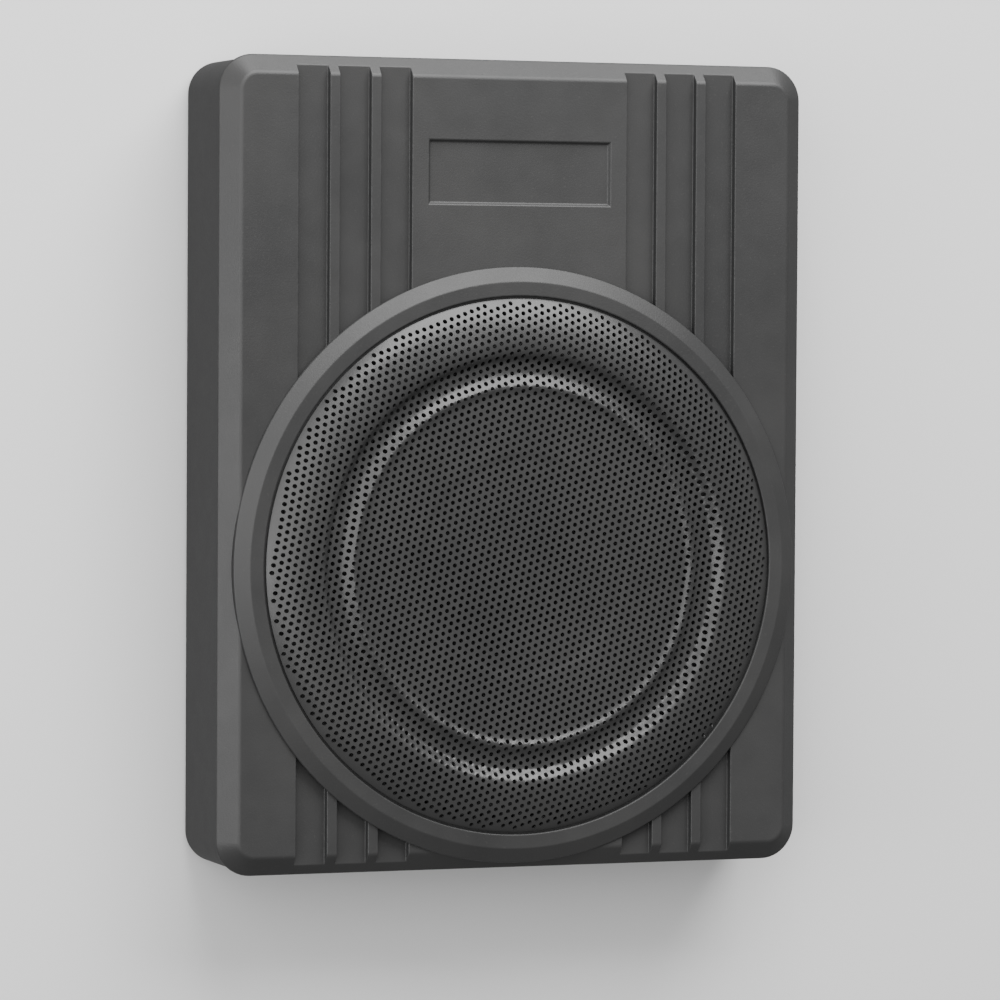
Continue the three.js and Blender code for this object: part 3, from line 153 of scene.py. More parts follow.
def new_object(name: str, verts: Iterable[Point3], faces: Iterable[Sequence[int]]) -> Piece:
    """Make a mesh object from points in millimetres.

    Args:
        name: Name of the object.
        verts: Corner points.
        faces: Corner numbers of each face.

    Returns:
        The object, linked to the scene, with its faces pointing out.
    """
    mesh = bpy.data.meshes.new(name)
    mesh.from_pydata([tuple(c * MM for c in v) for v in verts], [], [list(f) for f in faces])
    shape = bmesh.new()
    shape.from_mesh(mesh)
    bmesh.ops.recalc_face_normals(shape, faces=shape.faces)
    shape.to_mesh(mesh)
    shape.free()
    return place_data(name, mesh)


def smooth(piece: Piece, angle: float = 32.0) -> Piece:
    """Shade a piece smooth, and keep edges sharper than an angle in degrees."""
    piece.data.polygons.foreach_set("use_smooth", [True] * len(piece.data.polygons))
    piece.data.set_sharp_from_angle(angle=math.radians(angle))
    return piece


def even_out(piece: Piece) -> Piece:
    """Let the large faces of a piece set its shading, so that flats next to a rounding stay flat."""
    weighted = piece.modifiers.new("even_shading", "WEIGHTED_NORMAL")
    weighted.keep_sharp = True
    weighted.weight = 100
    return settle(piece)


def settle(piece: Piece) -> Piece:
    """Apply the modifiers of a piece to its mesh."""
    graph = bpy.context.evaluated_depsgraph_get()
    shaped = bpy.data.meshes.new_from_object(piece.evaluated_get(graph))
    piece.modifiers.clear()
    piece.data = shaped
    return piece


def clean(piece: Piece, flatten: bool = False) -> Piece:
    """Weld the slivers that a boolean leaves.

    Args:
        piece: The piece to change.
        flatten: Whether faces that lie in one plane are joined too.

    Returns:
        The same piece.
    """
    shape = bmesh.new()
    shape.from_mesh(piece.data)
    bmesh.ops.remove_doubles(shape, verts=shape.verts, dist=WELD * MM)
    bmesh.ops.dissolve_degenerate(shape, edges=shape.edges, dist=WELD * MM)
    if flatten:
        bmesh.ops.dissolve_limit(
            shape, angle_limit=math.radians(0.2), verts=shape.verts, edges=shape.edges, use_dissolve_boundaries=False)
    bmesh.ops.holes_fill(shape, edges=[edge for edge in shape.edges if edge.is_boundary], sides=0)
    shape.to_mesh(piece.data)
    shape.free()
    return piece


def add_bevel(piece: Piece, width: float, steps: int, angle: float, clamp: bool) -> None:
    """Add a bevel modifier.

    Args:
        piece: The piece to change.
        width: Width of the bevel, in millimetres.
        steps: Segments in it.
        angle: Edges flatter than this, in degrees, are left.
        clamp: Whether it is held back where two bevels would meet.
    """
    bevel = piece.modifiers.new("soft_edges", "BEVEL")
    bevel.width = width * MM
    bevel.segments = steps
    bevel.limit_method = "ANGLE"
    bevel.angle_limit = math.radians(angle)
    bevel.use_clamp_overlap = clamp


def soften(piece: Piece, width: float, steps: int = 2, angle: float = 30.0) -> Piece:
    """Round the sharp edges of a piece.

    Args:
        piece: The piece to change.
        width: Width of the rounding, in millimetres.
        steps: Segments in the rounding.
        angle: Edges flatter than this, in degrees, are left.

    Returns:
        The same piece.
    """
    clean(piece, flatten=True)
    add_bevel(piece, width, steps, angle, clamp=False)
    return clean(settle(piece))


def combine(piece: Piece, others: Iterable[Piece], operation: str) -> Piece:
    """Join other solids to a piece, or cut them from it, and remove them.

    Args:
        piece: The piece that stays.
        others: The solids that are used up.
        operation: UNION, DIFFERENCE or INTERSECT.

    Returns:
        The same piece.
    """
    for other in others:
        boolean = piece.modifiers.new(other.name, "BOOLEAN")
        boolean.operation = operation
        boolean.solver = "EXACT"
        boolean.object = other
        settle(piece)
        bpy.data.objects.remove(other)
    return clean(piece)


def cut(piece: Piece, *cutters: Piece) -> Piece:
    """Cut solids out of a piece."""
    return combine(piece, cutters, "DIFFERENCE")


def join(piece: Piece, *others: Piece) -> Piece:
    """Join solids to a piece."""
    return combine(piece, others, "UNION")


def lathe(
    name: str,
    profile: Sequence[Point2],
    centre: Point3 = (0, 0, 0),
    axis: Axis = Axis.UP,
    sides: int = 96,
    flutes: Callable[[float, float, float], float] | None = None,
) -> Piece:
    """Turn a closed profile about an axis.

    Args:
        name: Name of the object.
        profile: Radius and height pairs. It closes on itself or starts and ends on the axis.
        centre: Where the axis stands.
        axis: The direction of the heights.
        sides: Steps around.
        flutes: Radius at a given radius, height and angle, for knurls and ribs.

    Returns:
        The turned solid.
    """
    on_axis = profile[0][0] == 0 and profile[-1][0] == 0
    verts: list[Point3] = []
    rows: list[list[int]] = []
    for radius, height in profile:
        row = []
        for i in range(1 if radius == 0 else sides):
            turn = math.tau * i / sides
            reach = flutes(radius, height, turn) if flutes else radius
            x, y = reach * math.cos(turn), reach * math.sin(turn)
            place = (x, y, height) if axis is Axis.UP else (x, height, -y)
            row.append(len(verts))
            verts.append(tuple(c + p for c, p in zip(centre, place)))
        rows.append(row * sides if radius == 0 else row)
    pairs = list(zip(rows, rows[1:]))
    if not on_axis:
        pairs.append((rows[-1], rows[0]))
    faces = []
    for lower, upper in pairs:
        for i in range(sides):
            j = (i + 1) % sides
            corners = list(dict.fromkeys([lower[i], lower[j], upper[j], upper[i]]))
            if len(corners) > 2:
                faces.append(corners)
    return new_object(name, verts, faces)


def rounded(profile: Sequence[tuple[float, float, float]], steps: int = 4, closed: bool = True) -> list[Point2]:
    """Round the corners of a profile.

    Args:
        profile: Radius, height and corner radius of each corner.
        steps: Segments in each rounded corner.
        closed: Whether the last corner joins the first.

    Returns:
        Radius and height pairs.
    """
    points: list[Point2] = []
    count = len(profile)
    for i, (x, z, corner) in enumerate(profile):
        ends = not closed and i in (0, count - 1)
        if corner == 0 or ends:
            points.append((x, z))
            continue
        here = Vector((x, z))
        back = Vector(profile[i - 1][:2]) - here
        ahead = Vector(profile[(i + 1) % count][:2]) - here
        half = back.angle(ahead) / 2
        reach = min(corner / math.tan(half), back.length * 0.49, ahead.length * 0.49)
        start = here + back.normalized() * reach
        end = here + ahead.normalized() * reach
        for k in range(steps + 1):
            t = k / steps
            spot = start.lerp(here, t).lerp(here.lerp(end, t), t)
            points.append((spot.x, spot.y))
    return points


def outline(half_x: float, half_y: float, corner: float, steps: int = 12) -> list[Point2]:
    """Points of a rectangle with round corners, counter-clockwise from +X."""
    points = []
    for k, (sx, sy) in enumerate([(1, 1), (-1, 1), (-1, -1), (1, -1)]):
        for i in range(steps + 1):
            turn = math.pi / 2 * (k + i / steps)
            x = sx * (half_x - corner) + corner * math.cos(turn)
            y = sy * (half_y - corner) + corner * math.sin(turn)
            points.append((x, y))
    return points


def loft(name: str, half: Point2, corner: float, profile: Sequence[Point2], ring: bool = False) -> Piece:
    """Sweep a profile round a rectangle with round corners.

    Args:
        name: Name of the object.
        half: Half of the width and half of the length.
        corner: Corner radius at no inset.
        profile: Inset and height pairs.
        ring: Whether the profile closes on itself; otherwise both ends are capped.

    Returns:
        The lofted solid.
    """
    verts: list[Point3] = []
    for inset, height in profile:
        section = outline(half[0] - inset, half[1] - inset, max(corner - inset, LEAST_CORNER))
        verts.extend((x, y, height) for x, y in section)
    around = len(outline(1, 1, LEAST_CORNER))
    rows = len(profile)
    faces: list[list[int]] = []
    for r in range(rows if ring else rows - 1):
        low, high = r * around, (r + 1) % rows * around
        for i in range(around):
            j = (i + 1) % around
            faces.append([low + i, low + j, high + j, high + i])
    if not ring:
        faces.append(list(range(around)))
        faces.append(list(range((rows - 1) * around, rows * around)))
    return new_object(name, verts, faces)


def block(name: str, low: Point3, high: Point3) -> Piece:
    """A box between two corners, for booleans and for shapes that are softened after."""
    verts = [(x, y, z) for z in (low[2], high[2]) for x, y in (
        (low[0], low[1]), (high[0], low[1]), (high[0], high[1]), (low[0], high[1]))]
    faces = [(0, 1, 2, 3), (4, 5, 6, 7), (0, 1, 5, 4), (1, 2, 6, 5), (2, 3, 7, 6), (3, 0, 4, 7)]
    return new_object(name, verts, faces)


def rod(name: str, radius: float, low: float, high: float, centre: Point3 = (0, 0, 0),
        axis: Axis = Axis.UP, sides: int = 48) -> Piece:
    """A plain rod, for booleans."""
    return lathe(name, [(0, low), (radius, low), (radius, high), (0, high)], centre, axis, sides)


def rods(name: str, spots: Iterable[Vector], radius: float, low: float, high: float, sides: int = TINY
         ) -> list[Piece]:
    """An upright rod at the X and Y of each spot, for booleans.

    Args:
        name: Name of the rods.
        spots: Where they stand.
        radius: Radius of each.
        low: Height of their feet.
        high: Height of their tops.
        sides: Steps around.

    Returns:
        The rods.
    """
    return [rod(name, radius, low, high, (spot.x, spot.y, 0), sides=sides) for spot in spots]


def windings(bore: float, out: float, low: float, high: float, turns: int, groove: float, shoulder: float
             ) -> list[Point2]:
    """Profile of wire in close turns.

    Args:
        bore: Inner radius.
        out: Radius over the wire.
        low: Height of the first turn.
        high: Height where the last turn ends.
        turns: How many turns.
        groove: Depth between two turns.
        shoulder: Drop at a quarter of a turn.

    Returns:
        Radius and height pairs of a closed profile.
    """
    pitch = (high - low) / turns
    line: list[Point2] = [(bore, low)]
    for i in range(turns):
        z = low + i * pitch
        line += [(out - groove, z + 0.02), (out - shoulder, z + pitch * 0.25), (out, z + pitch * 0.5),
                 (out - shoulder, z + pitch * 0.75)]
    return [*line, (out - groove, high), (bore, high)]


def tube(name: str, points: Sequence[Point3], radius: float, steps: int = 12, sides: int = 14) -> Piece:
    """A round cord along a smooth line through points.

    Args:
        name: Name of the object.
        points: Points on the line.
        radius: Radius of the cord.
        steps: Rings between two points.
        sides: Steps around.

    Returns:
        The cord, with closed ends.
    """
    spots = [Vector(p) for p in points]
    padded = [spots[0] * 2 - spots[1], *spots, spots[-1] * 2 - spots[-2]]
    line: list[Vector] = []
    for a, b, c, d in zip(padded, padded[1:], padded[2:], padded[3:]):
        for k in range(steps):
            t = k / steps
            line.append(((b * 2) + (c - a) * t + (a * 2 - b * 5 + c * 4 - d) * t**2
                         + (b * 3 - a - c * 3 + d) * t**3) / 2)
    line.append(spots[-1])
    verts: list[Point3] = []
    side = Vector((1, 0, 0))
    for i, spot in enumerate(line):
        ahead = (line[min(i + 1, len(line) - 1)] - line[max(i - 1, 0)]).normalized()
        side = (side - ahead * side.dot(ahead)).normalized()
        up = ahead.cross(side)
        for k in range(sides):
            turn = math.tau * k / sides
            verts.append(tuple(spot + (side * math.cos(turn) + up * math.sin(turn)) * radius))
    faces = [list(range(sides)), list(range(len(verts) - sides, len(verts)))]
    for i in range(len(line) - 1):
        faces += [[i * sides + k, i * sides + (k + 1) % sides, (i + 1) * sides + (k + 1) % sides,
                   (i + 1) * sides + k] for k in range(sides)]
    return new_object(name, verts, faces)


def merge(name: str, parts: Sequence[Piece]) -> Piece:
    """Put separate closed bodies in one object, without a boolean.

    Args:
        name: Name of the object.
        parts: The bodies, which are used up.

    Returns:
        The object that holds them all.
    """
    shape = bmesh.new()
    for part in parts:
        shape.from_mesh(part.data)
        bpy.data.objects.remove(part)
    mesh = bpy.data.meshes.new(name)
    shape.to_mesh(mesh)
    shape.free()
    return place_data(name, mesh)


def curve_through(points: Sequence[Point2]) -> Callable[[float], float]:
    """A smooth line through points whose first numbers rise, with no overshoot.

    Args:
        points: Radius and height pairs.

    Returns:
        A function that gives the height at a radius.
    """
    xs = [p[0] for p in points]
    zs = [p[1] for p in points]
    slopes = [(zs[i + 1] - zs[i]) / (xs[i + 1] - xs[i]) for i in range(len(xs) - 1)]
    tangents = [slopes[0]]
    for before, after in zip(slopes, slopes[1:]):
        level = before * after <= 0
        tangents.append(0.0 if level else 2 * before * after / (before + after))
    tangents.append(slopes[-1])

    def height(x: float) -> float:
        """Height of the line at x."""
        x = min(max(x, xs[0]), xs[-1])
        i = next((k for k in range(len(slopes)) if x <= xs[k + 1]), len(slopes) - 1)
        run = xs[i + 1] - xs[i]
        t = (x - xs[i]) / run
        return (
            (2 * t**3 - 3 * t**2 + 1) * zs[i] + (t**3 - 2 * t**2 + t) * run * tangents[i]
            + (3 * t**2 - 2 * t**3) * zs[i + 1] + (t**3 - t**2) * run * tangents[i + 1]
        )

    return height


# ---------------------------------------------------------------------------------------
# Shader node groups
# ---------------------------------------------------------------------------------------


class Sheet:
    """A node tree that is being drawn, with short ways to add and link nodes."""

    def __init__(self, tree: bpy.types.NodeTree) -> None:
        """Keep the tree."""
        self.tree = tree

    def add(self, kind: str, **settings: object) -> bpy.types.Node:
        """Add a node.

        Args:
            kind: Blender's name of the node type, without its ShaderNode prefix.
            settings: Properties to set on it.

        Returns:
            The node.
        """
        node = self.tree.nodes.new("ShaderNode" + kind)
        for key, value in settings.items():
            setattr(node, key, value)
        return node

    def link(self, source: Socket, target: Socket) -> None:
        """Join two sockets."""
        self.tree.links.new(source, target)

    def feed(self, value: object, target: Socket) -> None:
        """Bring a socket's result or a constant to a socket."""
        if isinstance(value, Socket):
            self.link(value, target)
        elif value is not None:
            target.default_value = value

    def maths(self, operation: str, first: object, second: object = None) -> Socket:
        """Work out a value from sockets or numbers.

        Args:
            operation: Name of the sum.
            first: Socket or number.
            second: Socket or number.

        Returns:
            The socket that holds the result.
        """
        node = self.add("Math", operation=operation)
        for socket, value in zip(node.inputs, (first, second)):
            self.feed(value, socket)
        return node.outputs[0]

    def vector(self, operation: str, source: Socket, second: object = None) -> bpy.types.Node:
        """Work on a vector.

        Args:
            operation: Name of the sum.
            source: The vector.
            second: Socket or numbers.

        Returns:
            The node.
        """
        node = self.add("VectorMath", operation=operation)
        self.link(source, node.inputs[0])
        self.feed(second, node.inputs[1])
        return node

    def split(self, source: Socket) -> bpy.types.Node:
        """Part a vector into X, Y and Z."""
        node = self.add("SeparateXYZ")
        self.link(source, node.inputs[0])
        return node

    def raised(self, pattern: Socket, weight: float, height: Socket) -> Socket:
        """Add a weighted pattern to a height."""
        return self.maths("ADD", self.maths("MULTIPLY", pattern, weight), height)

    def noise(self, vector: Socket, scale: object, detail: float = 3.0) -> Socket:
        """Add a noise texture.

        Args:
            vector: Where it is read.
            scale: Waves in a metre, as a socket or number.
            detail: Octaves.

        Returns:
            Its value.
        """
        node = self.add("TexNoise")
        self.link(vector, node.inputs["Vector"])
        self.feed(scale, node.inputs["Scale"])
        node.inputs["Detail"].default_value = detail
        return node.outputs["Fac"]

    def spread(self, value: Socket, low: object, high: object, start: float = 0.0, end: float = 1.0) -> Socket:
        """Carry a value from one range to another, clamped.

        Args:
            value: The socket to carry.
            low: Result at the start.
            high: Result at the end.
            start: Value that gives low.
            end: Value that gives high.

        Returns:
            The carried value.
        """
        node = self.add("MapRange")
        self.link(value, node.inputs["Value"])
        node.inputs["From Min"].default_value = start
        node.inputs["From Max"].default_value = end
        self.feed(low, node.inputs["To Min"])
        self.feed(high, node.inputs["To Max"])
        return node.outputs["Result"]


def new_group(name: str, inputs: dict[str, object], outputs: dict[str, str]) -> tuple[Sheet, dict, dict]:
    """Start a shader node group.

    Args:
        name: Name of the group.
        inputs: Default value of each input; a triple is a colour, and None a vector.
        outputs: Kind of each output: Color, Float or Vector.

    Returns:
        The sheet, the sockets that bring values in, and those that take results out.
    """
    tree = bpy.data.node_groups.new(name, "ShaderNodeTree")
    for key, value in inputs.items():
        kind = "Float" if isinstance(value, float) else "Vector" if value is None else "Color"
        socket = tree.interface.new_socket(key, in_out="INPUT", socket_type="NodeSocket" + kind)
        if kind == "Float":
            socket.default_value = value
        elif kind == "Color":
            socket.default_value = (*value, 1.0)
    for key, kind in outputs.items():
        tree.interface.new_socket(key, in_out="OUTPUT", socket_type="NodeSocket" + kind)
    sheet = Sheet(tree)
    entry = tree.nodes.new("NodeGroupInput")
    way_out = tree.nodes.new("NodeGroupOutput")
    return sheet, dict(entry.outputs.items()), dict(way_out.inputs.items())


def mottle_group() -> bpy.types.NodeTree:
    """Slow changes of colour and roughness over a surface, from uneven coating and handling."""
    sheet, into, out = new_group(
        "mottle",
        {"Place": None, "Colour": (0.1, 0.1, 0.1), "Spread": 0.1, "Scale": 20.0, "Roughness": 0.5,
         "Roughness Spread": 0.06},
        {"Colour": "Color", "Roughness": "Float"},
    )
    cloud = sheet.noise(into["Place"], into["Scale"], 5.0)
    finer = sheet.noise(into["Place"], sheet.maths("MULTIPLY", into["Scale"], 9.0), 4.0)
    wave = sheet.maths("SUBTRACT", sheet.maths("ADD", cloud, sheet.maths("MULTIPLY", finer, 0.5)), 0.75)
    shade = sheet.maths("ADD", sheet.maths("MULTIPLY", wave, sheet.maths("MULTIPLY", into["Spread"], 4.0)), 1.0)
    tint = sheet.add("VectorMath", operation="SCALE")
    sheet.link(into["Colour"], tint.inputs[0])
    sheet.link(shade, tint.inputs["Scale"])
    sheet.link(tint.outputs[0], out["Colour"])
    swing = sheet.maths("MULTIPLY", wave, sheet.maths("MULTIPLY", into["Roughness Spread"], 4.0))
    sheet.link(sheet.maths("ADD", into["Roughness"], swing), out["Roughness"])
    return sheet.tree


def grain_group() -> bpy.types.NodeTree:
    """Fine bumps of a moulded or sprayed surface, with a mask of their crests."""
    sheet, into, out = new_group(
        "grain",
        {"Place": None, "Grain Scale": 2000.0, "Ripple": 0.35},
        {"Height": "Float", "Crests": "Float"},
    )
    pebbles = sheet.add("TexVoronoi", feature="SMOOTH_F1")
    sheet.link(into["Place"], pebbles.inputs["Vector"])
    sheet.link(into["Grain Scale"], pebbles.inputs["Scale"])
    rolling = sheet.noise(into["Place"], sheet.maths("MULTIPLY", into["Grain Scale"], 0.12), 2.0)
    domes = sheet.maths("SUBTRACT", 1.0, pebbles.outputs["Distance"])
    ripple = sheet.maths("MULTIPLY", rolling, into["Ripple"])
    sheet.link(sheet.maths("ADD", domes, ripple), out["Height"])
    sheet.link(sheet.spread(domes, 0.0, 1.0, 0.45, 0.95), out["Crests"])
    return sheet.tree


def wear_group() -> bpy.types.NodeTree:
    """A mask of rubbed edges, broken up by noise."""
    sheet, into, out = new_group(
        "edge_wear", {"Place": None, "Amount": 0.2, "Breakup": 300.0}, {"Mask": "Float"})
    bevel = sheet.add("Bevel", samples=2)
    bevel.inputs["Radius"].default_value = 1.1 * MM
    shape = sheet.add("NewGeometry")
    alike = sheet.vector("DOT_PRODUCT", bevel.outputs[0], shape.outputs["Normal"])
    edge = sheet.spread(alike.outputs["Value"], 1.0, 0.0, 0.86, 0.995)
    patches = sheet.spread(sheet.noise(into["Place"], into["Breakup"], 4.0), 0.0, 1.0, 0.42, 0.68)
    mask = sheet.maths("MULTIPLY", sheet.maths("MULTIPLY", edge, patches), into["Amount"])
    sheet.link(mask, out["Mask"])
    return sheet.tree


def dust_group() -> bpy.types.NodeTree:
    """A mask of settled dust: more on faces that look up, in specks and thin patches."""
    sheet, into, out = new_group(
        "dust", {"Place": None, "Amount": 0.1, "Speck Scale": 900.0}, {"Mask": "Float"})
    shape = sheet.add("NewGeometry")
    parts = sheet.split(shape.outputs["Normal"])
    up = sheet.spread(parts.outputs["Z"], 0.12, 1.0, 0.1, 0.95)
    specks = sheet.spread(sheet.noise(into["Place"], into["Speck Scale"], 2.0), 0.0, 1.0, 0.6, 0.74)
    film = sheet.spread(sheet.noise(into["Place"], 16.0, 5.0), 0.1, 0.6, 0.35, 0.7)
    both = sheet.maths("MULTIPLY", sheet.maths("MAXIMUM", specks, film), up)
    sheet.link(sheet.maths("MULTIPLY", both, into["Amount"]), out["Mask"])
    return sheet.tree


def weave_group() -> bpy.types.NodeTree:
    """Over and under threads of a cloth, as a height and a mask of the low gaps between them, where a cloth puts
    painted shade.
    """
    sheet, into, out = new_group(
        "weave", {"Place": None, "Threads": 1400.0}, {"Height": "Float", "Gaps": "Float"})
    parts = sheet.split(into["Place"])
    turns = sheet.maths("MULTIPLY", into["Threads"], math.pi)
    warp = sheet.maths("SINE", sheet.maths("MULTIPLY", parts.outputs["X"], turns))
    weft = sheet.maths("SINE", sheet.maths("MULTIPLY", parts.outputs["Y"], turns))
    height = sheet.maths("MULTIPLY", warp, weft)
    sheet.link(sheet.maths("ABSOLUTE", height), out["Height"])
    sheet.link(sheet.spread(sheet.maths("ABSOLUTE", height), 1.0, 0.0, 0.0, 0.35), out["Gaps"])
    return sheet.tree


GROUPS = {
    "mottle": mottle_group(),
    "grain": grain_group(),
    "edge_wear": wear_group(),
    "dust": dust_group(),
    "weave": weave_group(),
}

# ---------------------------------------------------------------------------------------
# Finishes
# ---------------------------------------------------------------------------------------

DUST_COLOUR = (0.36, 0.34, 0.31)


@dataclass(frozen=True)
class Finish:
    """A surface: colour, gloss, grain, worn edges and dust.

    Attributes:
        name: Name of the material.
        colour: Linear base colour.
        roughness: Mean roughness.
        metallic: 1 for bare metal.
        spread: Share by which the colour drifts.
        mottle_scale: Waves of that drift in a metre.
        grain_scale: Grains in a metre.
        grain_height: Height of the grain, in millimetres.
        wear: How strongly edges are rubbed.
        wear_colour: Colour under the coating.
        dust: How much dust lies on it.
        coat: Weight of a clear coat.
        specular: Specular level of the shader.
    """

    name: str
    colour: Colour
    roughness: float = 0.5
    metallic: float = 0.0
    spread: float = 0.06
    mottle_scale: float = 14.0
    grain_scale: float = 1500.0
    grain_height: float = 0.02
    wear: float = 0.15
    wear_colour: Colour = (0.2, 0.2, 0.2)
    dust: float = 0.06
    coat: float = 0.0
    specular: float = 0.5

    def group(self, sheet: Sheet, key: str, place: Socket, **values: object) -> bpy.types.Node:
        """Put a shared group in the material.

        Args:
            sheet: The material's node tree.
            key: Which group.
            place: Where patterns are read.
            values: Value of each named input.

        Returns:
            The group node.
        """
        node = sheet.add("Group", node_tree=GROUPS[key], label=key)
        sheet.link(place, node.inputs["Place"])
        for name, value in values.items():
            node.inputs[name.replace("_", " ")].default_value = value
        return node

    def tint(self, sheet: Sheet, place: Socket, colour: Socket) -> Socket:
        """Change the base colour; a plain finish leaves it."""
        return colour

    def relief(self, sheet: Sheet, place: Socket, height: Socket) -> Socket:
        """Change the height of the surface; a plain finish leaves it."""
        return height

    def mix(self, sheet: Sheet, mask: Socket, under: Socket, over: Colour) -> Socket:
        """Lay a colour over another where a mask is white.

        Args:
            sheet: The material's node tree.
            mask: Where the new colour shows.
            under: Colour so far.
            over: Colour laid on.

        Returns:
            The mixed colour.
        """
        node = sheet.add("Mix", data_type="RGBA")
        sheet.link(mask, node.inputs[0])
        sheet.link(under, node.inputs[6])
        node.inputs[7].default_value = (*over, 1.0)
        return node.outputs[2]

    def make(self) -> Material:
        """Build the material.

        Returns:
            The material.
        """
        made = bpy.data.materials.new(self.name)
        made.use_nodes = True
        made.node_tree.nodes.clear()
        sheet = Sheet(made.node_tree)
        shader = sheet.add("BsdfPrincipled")
        sheet.link(shader.outputs[0], sheet.add("OutputMaterial").inputs["Surface"])
        place = sheet.add("TexCoord").outputs["Object"]
        mottle = self.group(
            sheet, "mottle", place, Colour=(*self.colour, 1.0), Spread=self.spread, Scale=self.mottle_scale,
            Roughness=self.roughness)
        grain = self.group(sheet, "grain", place, Grain_Scale=self.grain_scale)
        dust = self.group(sheet, "dust", place, Amount=self.dust)
        colour = self.tint(sheet, place, mottle.outputs["Colour"])
        if self.wear > 0:
            wear = self.group(sheet, "edge_wear", place, Amount=self.wear)
            colour = self.mix(sheet, wear.outputs["Mask"], colour, self.wear_colour)
        colour = self.mix(sheet, dust.outputs["Mask"], colour, DUST_COLOUR)
        sheet.link(colour, shader.inputs["Base Color"])
        crests = sheet.maths("MULTIPLY", grain.outputs["Crests"], -0.05)
        rough = sheet.maths("ADD", mottle.outputs["Roughness"], crests)
        dulled = sheet.maths("MULTIPLY", dust.outputs["Mask"], 0.5)
        sheet.link(sheet.maths("ADD", rough, dulled), shader.inputs["Roughness"])
        bump = sheet.add("Bump")
        bump.inputs["Distance"].default_value = self.grain_height * MM
        sheet.link(self.relief(sheet, place, grain.outputs["Height"]), bump.inputs["Height"])
        sheet.link(bump.outputs[0], shader.inputs["Normal"])
        shader.inputs["Metallic"].default_value = self.metallic
        shader.inputs["Specular IOR Level"].default_value = self.specular
        shader.inputs["Coat Weight"].default_value = self.coat
        shader.inputs["Coat Roughness"].default_value = 0.2
        return made


@dataclass(frozen=True)
class ClothFinish(Finish):
    """A woven cloth stiffened with resin, with painted shade in the gaps between its threads."""

    threads: float = 1400.0
    thread_height: float = 2.0
    # Share of the cloth's colour left in the gaps between the threads: painted shade.
    gap_painted_shade: float = 0.35

    def tint(self, sheet: Sheet, place: Socket, colour: Socket) -> Socket:
        """Darken the gaps between the threads, as painted shade where the threads dip."""
        weave = self.group(sheet, "weave", place, Threads=self.threads)
        # Painted shade: the gaps take a darker copy of the cloth's colour.
        shade = tuple(c * self.gap_painted_shade for c in self.colour)
        return self.mix(sheet, weave.outputs["Gaps"], colour, shade)

    def relief(self, sheet: Sheet, place: Socket, height: Socket) -> Socket:
        """Add the threads to the height."""
        weave = self.group(sheet, "weave", place, Threads=self.threads)
        return sheet.raised(weave.outputs["Height"], self.thread_height, height)


@dataclass(frozen=True)
class PaperFinish(Finish):
    """Pressed pulp with short fibres."""

    fibre_scale: float = 260.0
    fibre_stretch: Point3 = (1.0, 7.0, 1.0)
    fibre_height: float = 3.0

    def relief(self, sheet: Sheet, place: Socket, height: Socket) -> Socket:
        """Add long low fibres to the height."""
        stretch = sheet.add("Mapping")
        sheet.link(place, stretch.inputs["Vector"])
        stretch.inputs["Scale"].default_value = self.fibre_stretch
        fibres = sheet.noise(stretch.outputs[0], self.fibre_scale, 6.0)
        return sheet.raised(fibres, self.fibre_height, height)


@dataclass(frozen=True)
class BrushedFinish(Finish):
    """Metal with fine turning lines about the Z axis of its own place."""

    line_scale: float = 2600.0
    line_height: float = 0.4
    axis_y: float = 0.0

    def relief(self, sheet: Sheet, place: Socket, height: Socket) -> Socket:
        """Add circular tool lines to the height."""
        shift = sheet.vector("SUBTRACT", place, (0.0, self.axis_y * MM, 0.0))
        flat = sheet.vector("MULTIPLY", shift.outputs[0], (1.0, 1.0, 0.0))
        reach = sheet.vector("LENGTH", flat.outputs[0])
        lines = sheet.maths("SINE", sheet.maths("MULTIPLY", reach.outputs["Value"], self.line_scale * math.tau))
        return sheet.raised(lines, self.line_height, height)


@dataclass(frozen=True)
class WoundFinish(Finish):
    """Enamelled wire laid in close turns along Z."""

    turn_pitch: float = 0.42
    turn_height: float = 6.0

    def relief(self, sheet: Sheet, place: Socket, height: Socket) -> Socket:
        """Add the round of each turn to the height."""
        turn = sheet.maths("MULTIPLY", sheet.split(place).outputs["Z"], math.pi / (self.turn_pitch * MM))
        return sheet.raised(sheet.maths("ABSOLUTE", sheet.maths("SINE", turn)), self.turn_height, height)


@dataclass(frozen=True)
class BoardFinish(Finish):
    """Green solder mask over copper tracks."""

    track_pitch: float = 2.54
    track_run: int = 5
    track_gap: float = 0.45
    track_height: float = 3.0
    track_colour: Colour = (0.035, 0.16, 0.06)

    def tracks(self, sheet: Sheet, place: Socket) -> Socket:
        """A mask of the tracks: straight runs in square cells."""
        cells = sheet.add("TexBrick")
        sheet.link(place, cells.inputs["Vector"])
        cells.inputs["Scale"].default_value = 1.0
        cells.inputs["Brick Width"].default_value = self.track_pitch * self.track_run * MM
        cells.inputs["Row Height"].default_value = self.track_pitch * MM
        cells.inputs["Mortar Size"].default_value = self.track_gap * MM
        cells.inputs["Mortar Smooth"].default_value = 0.1
        return cells.outputs["Fac"]

    def tint(self, sheet: Sheet, place: Socket, colour: Socket) -> Socket:
        """Show the copper through the mask."""
        return self.mix(sheet, self.tracks(sheet, place), colour, self.track_colour)

    def relief(self, sheet: Sheet, place: Socket, height: Socket) -> Socket:
        """Raise the tracks."""
        return sheet.raised(self.tracks(sheet, place), self.track_height, height)


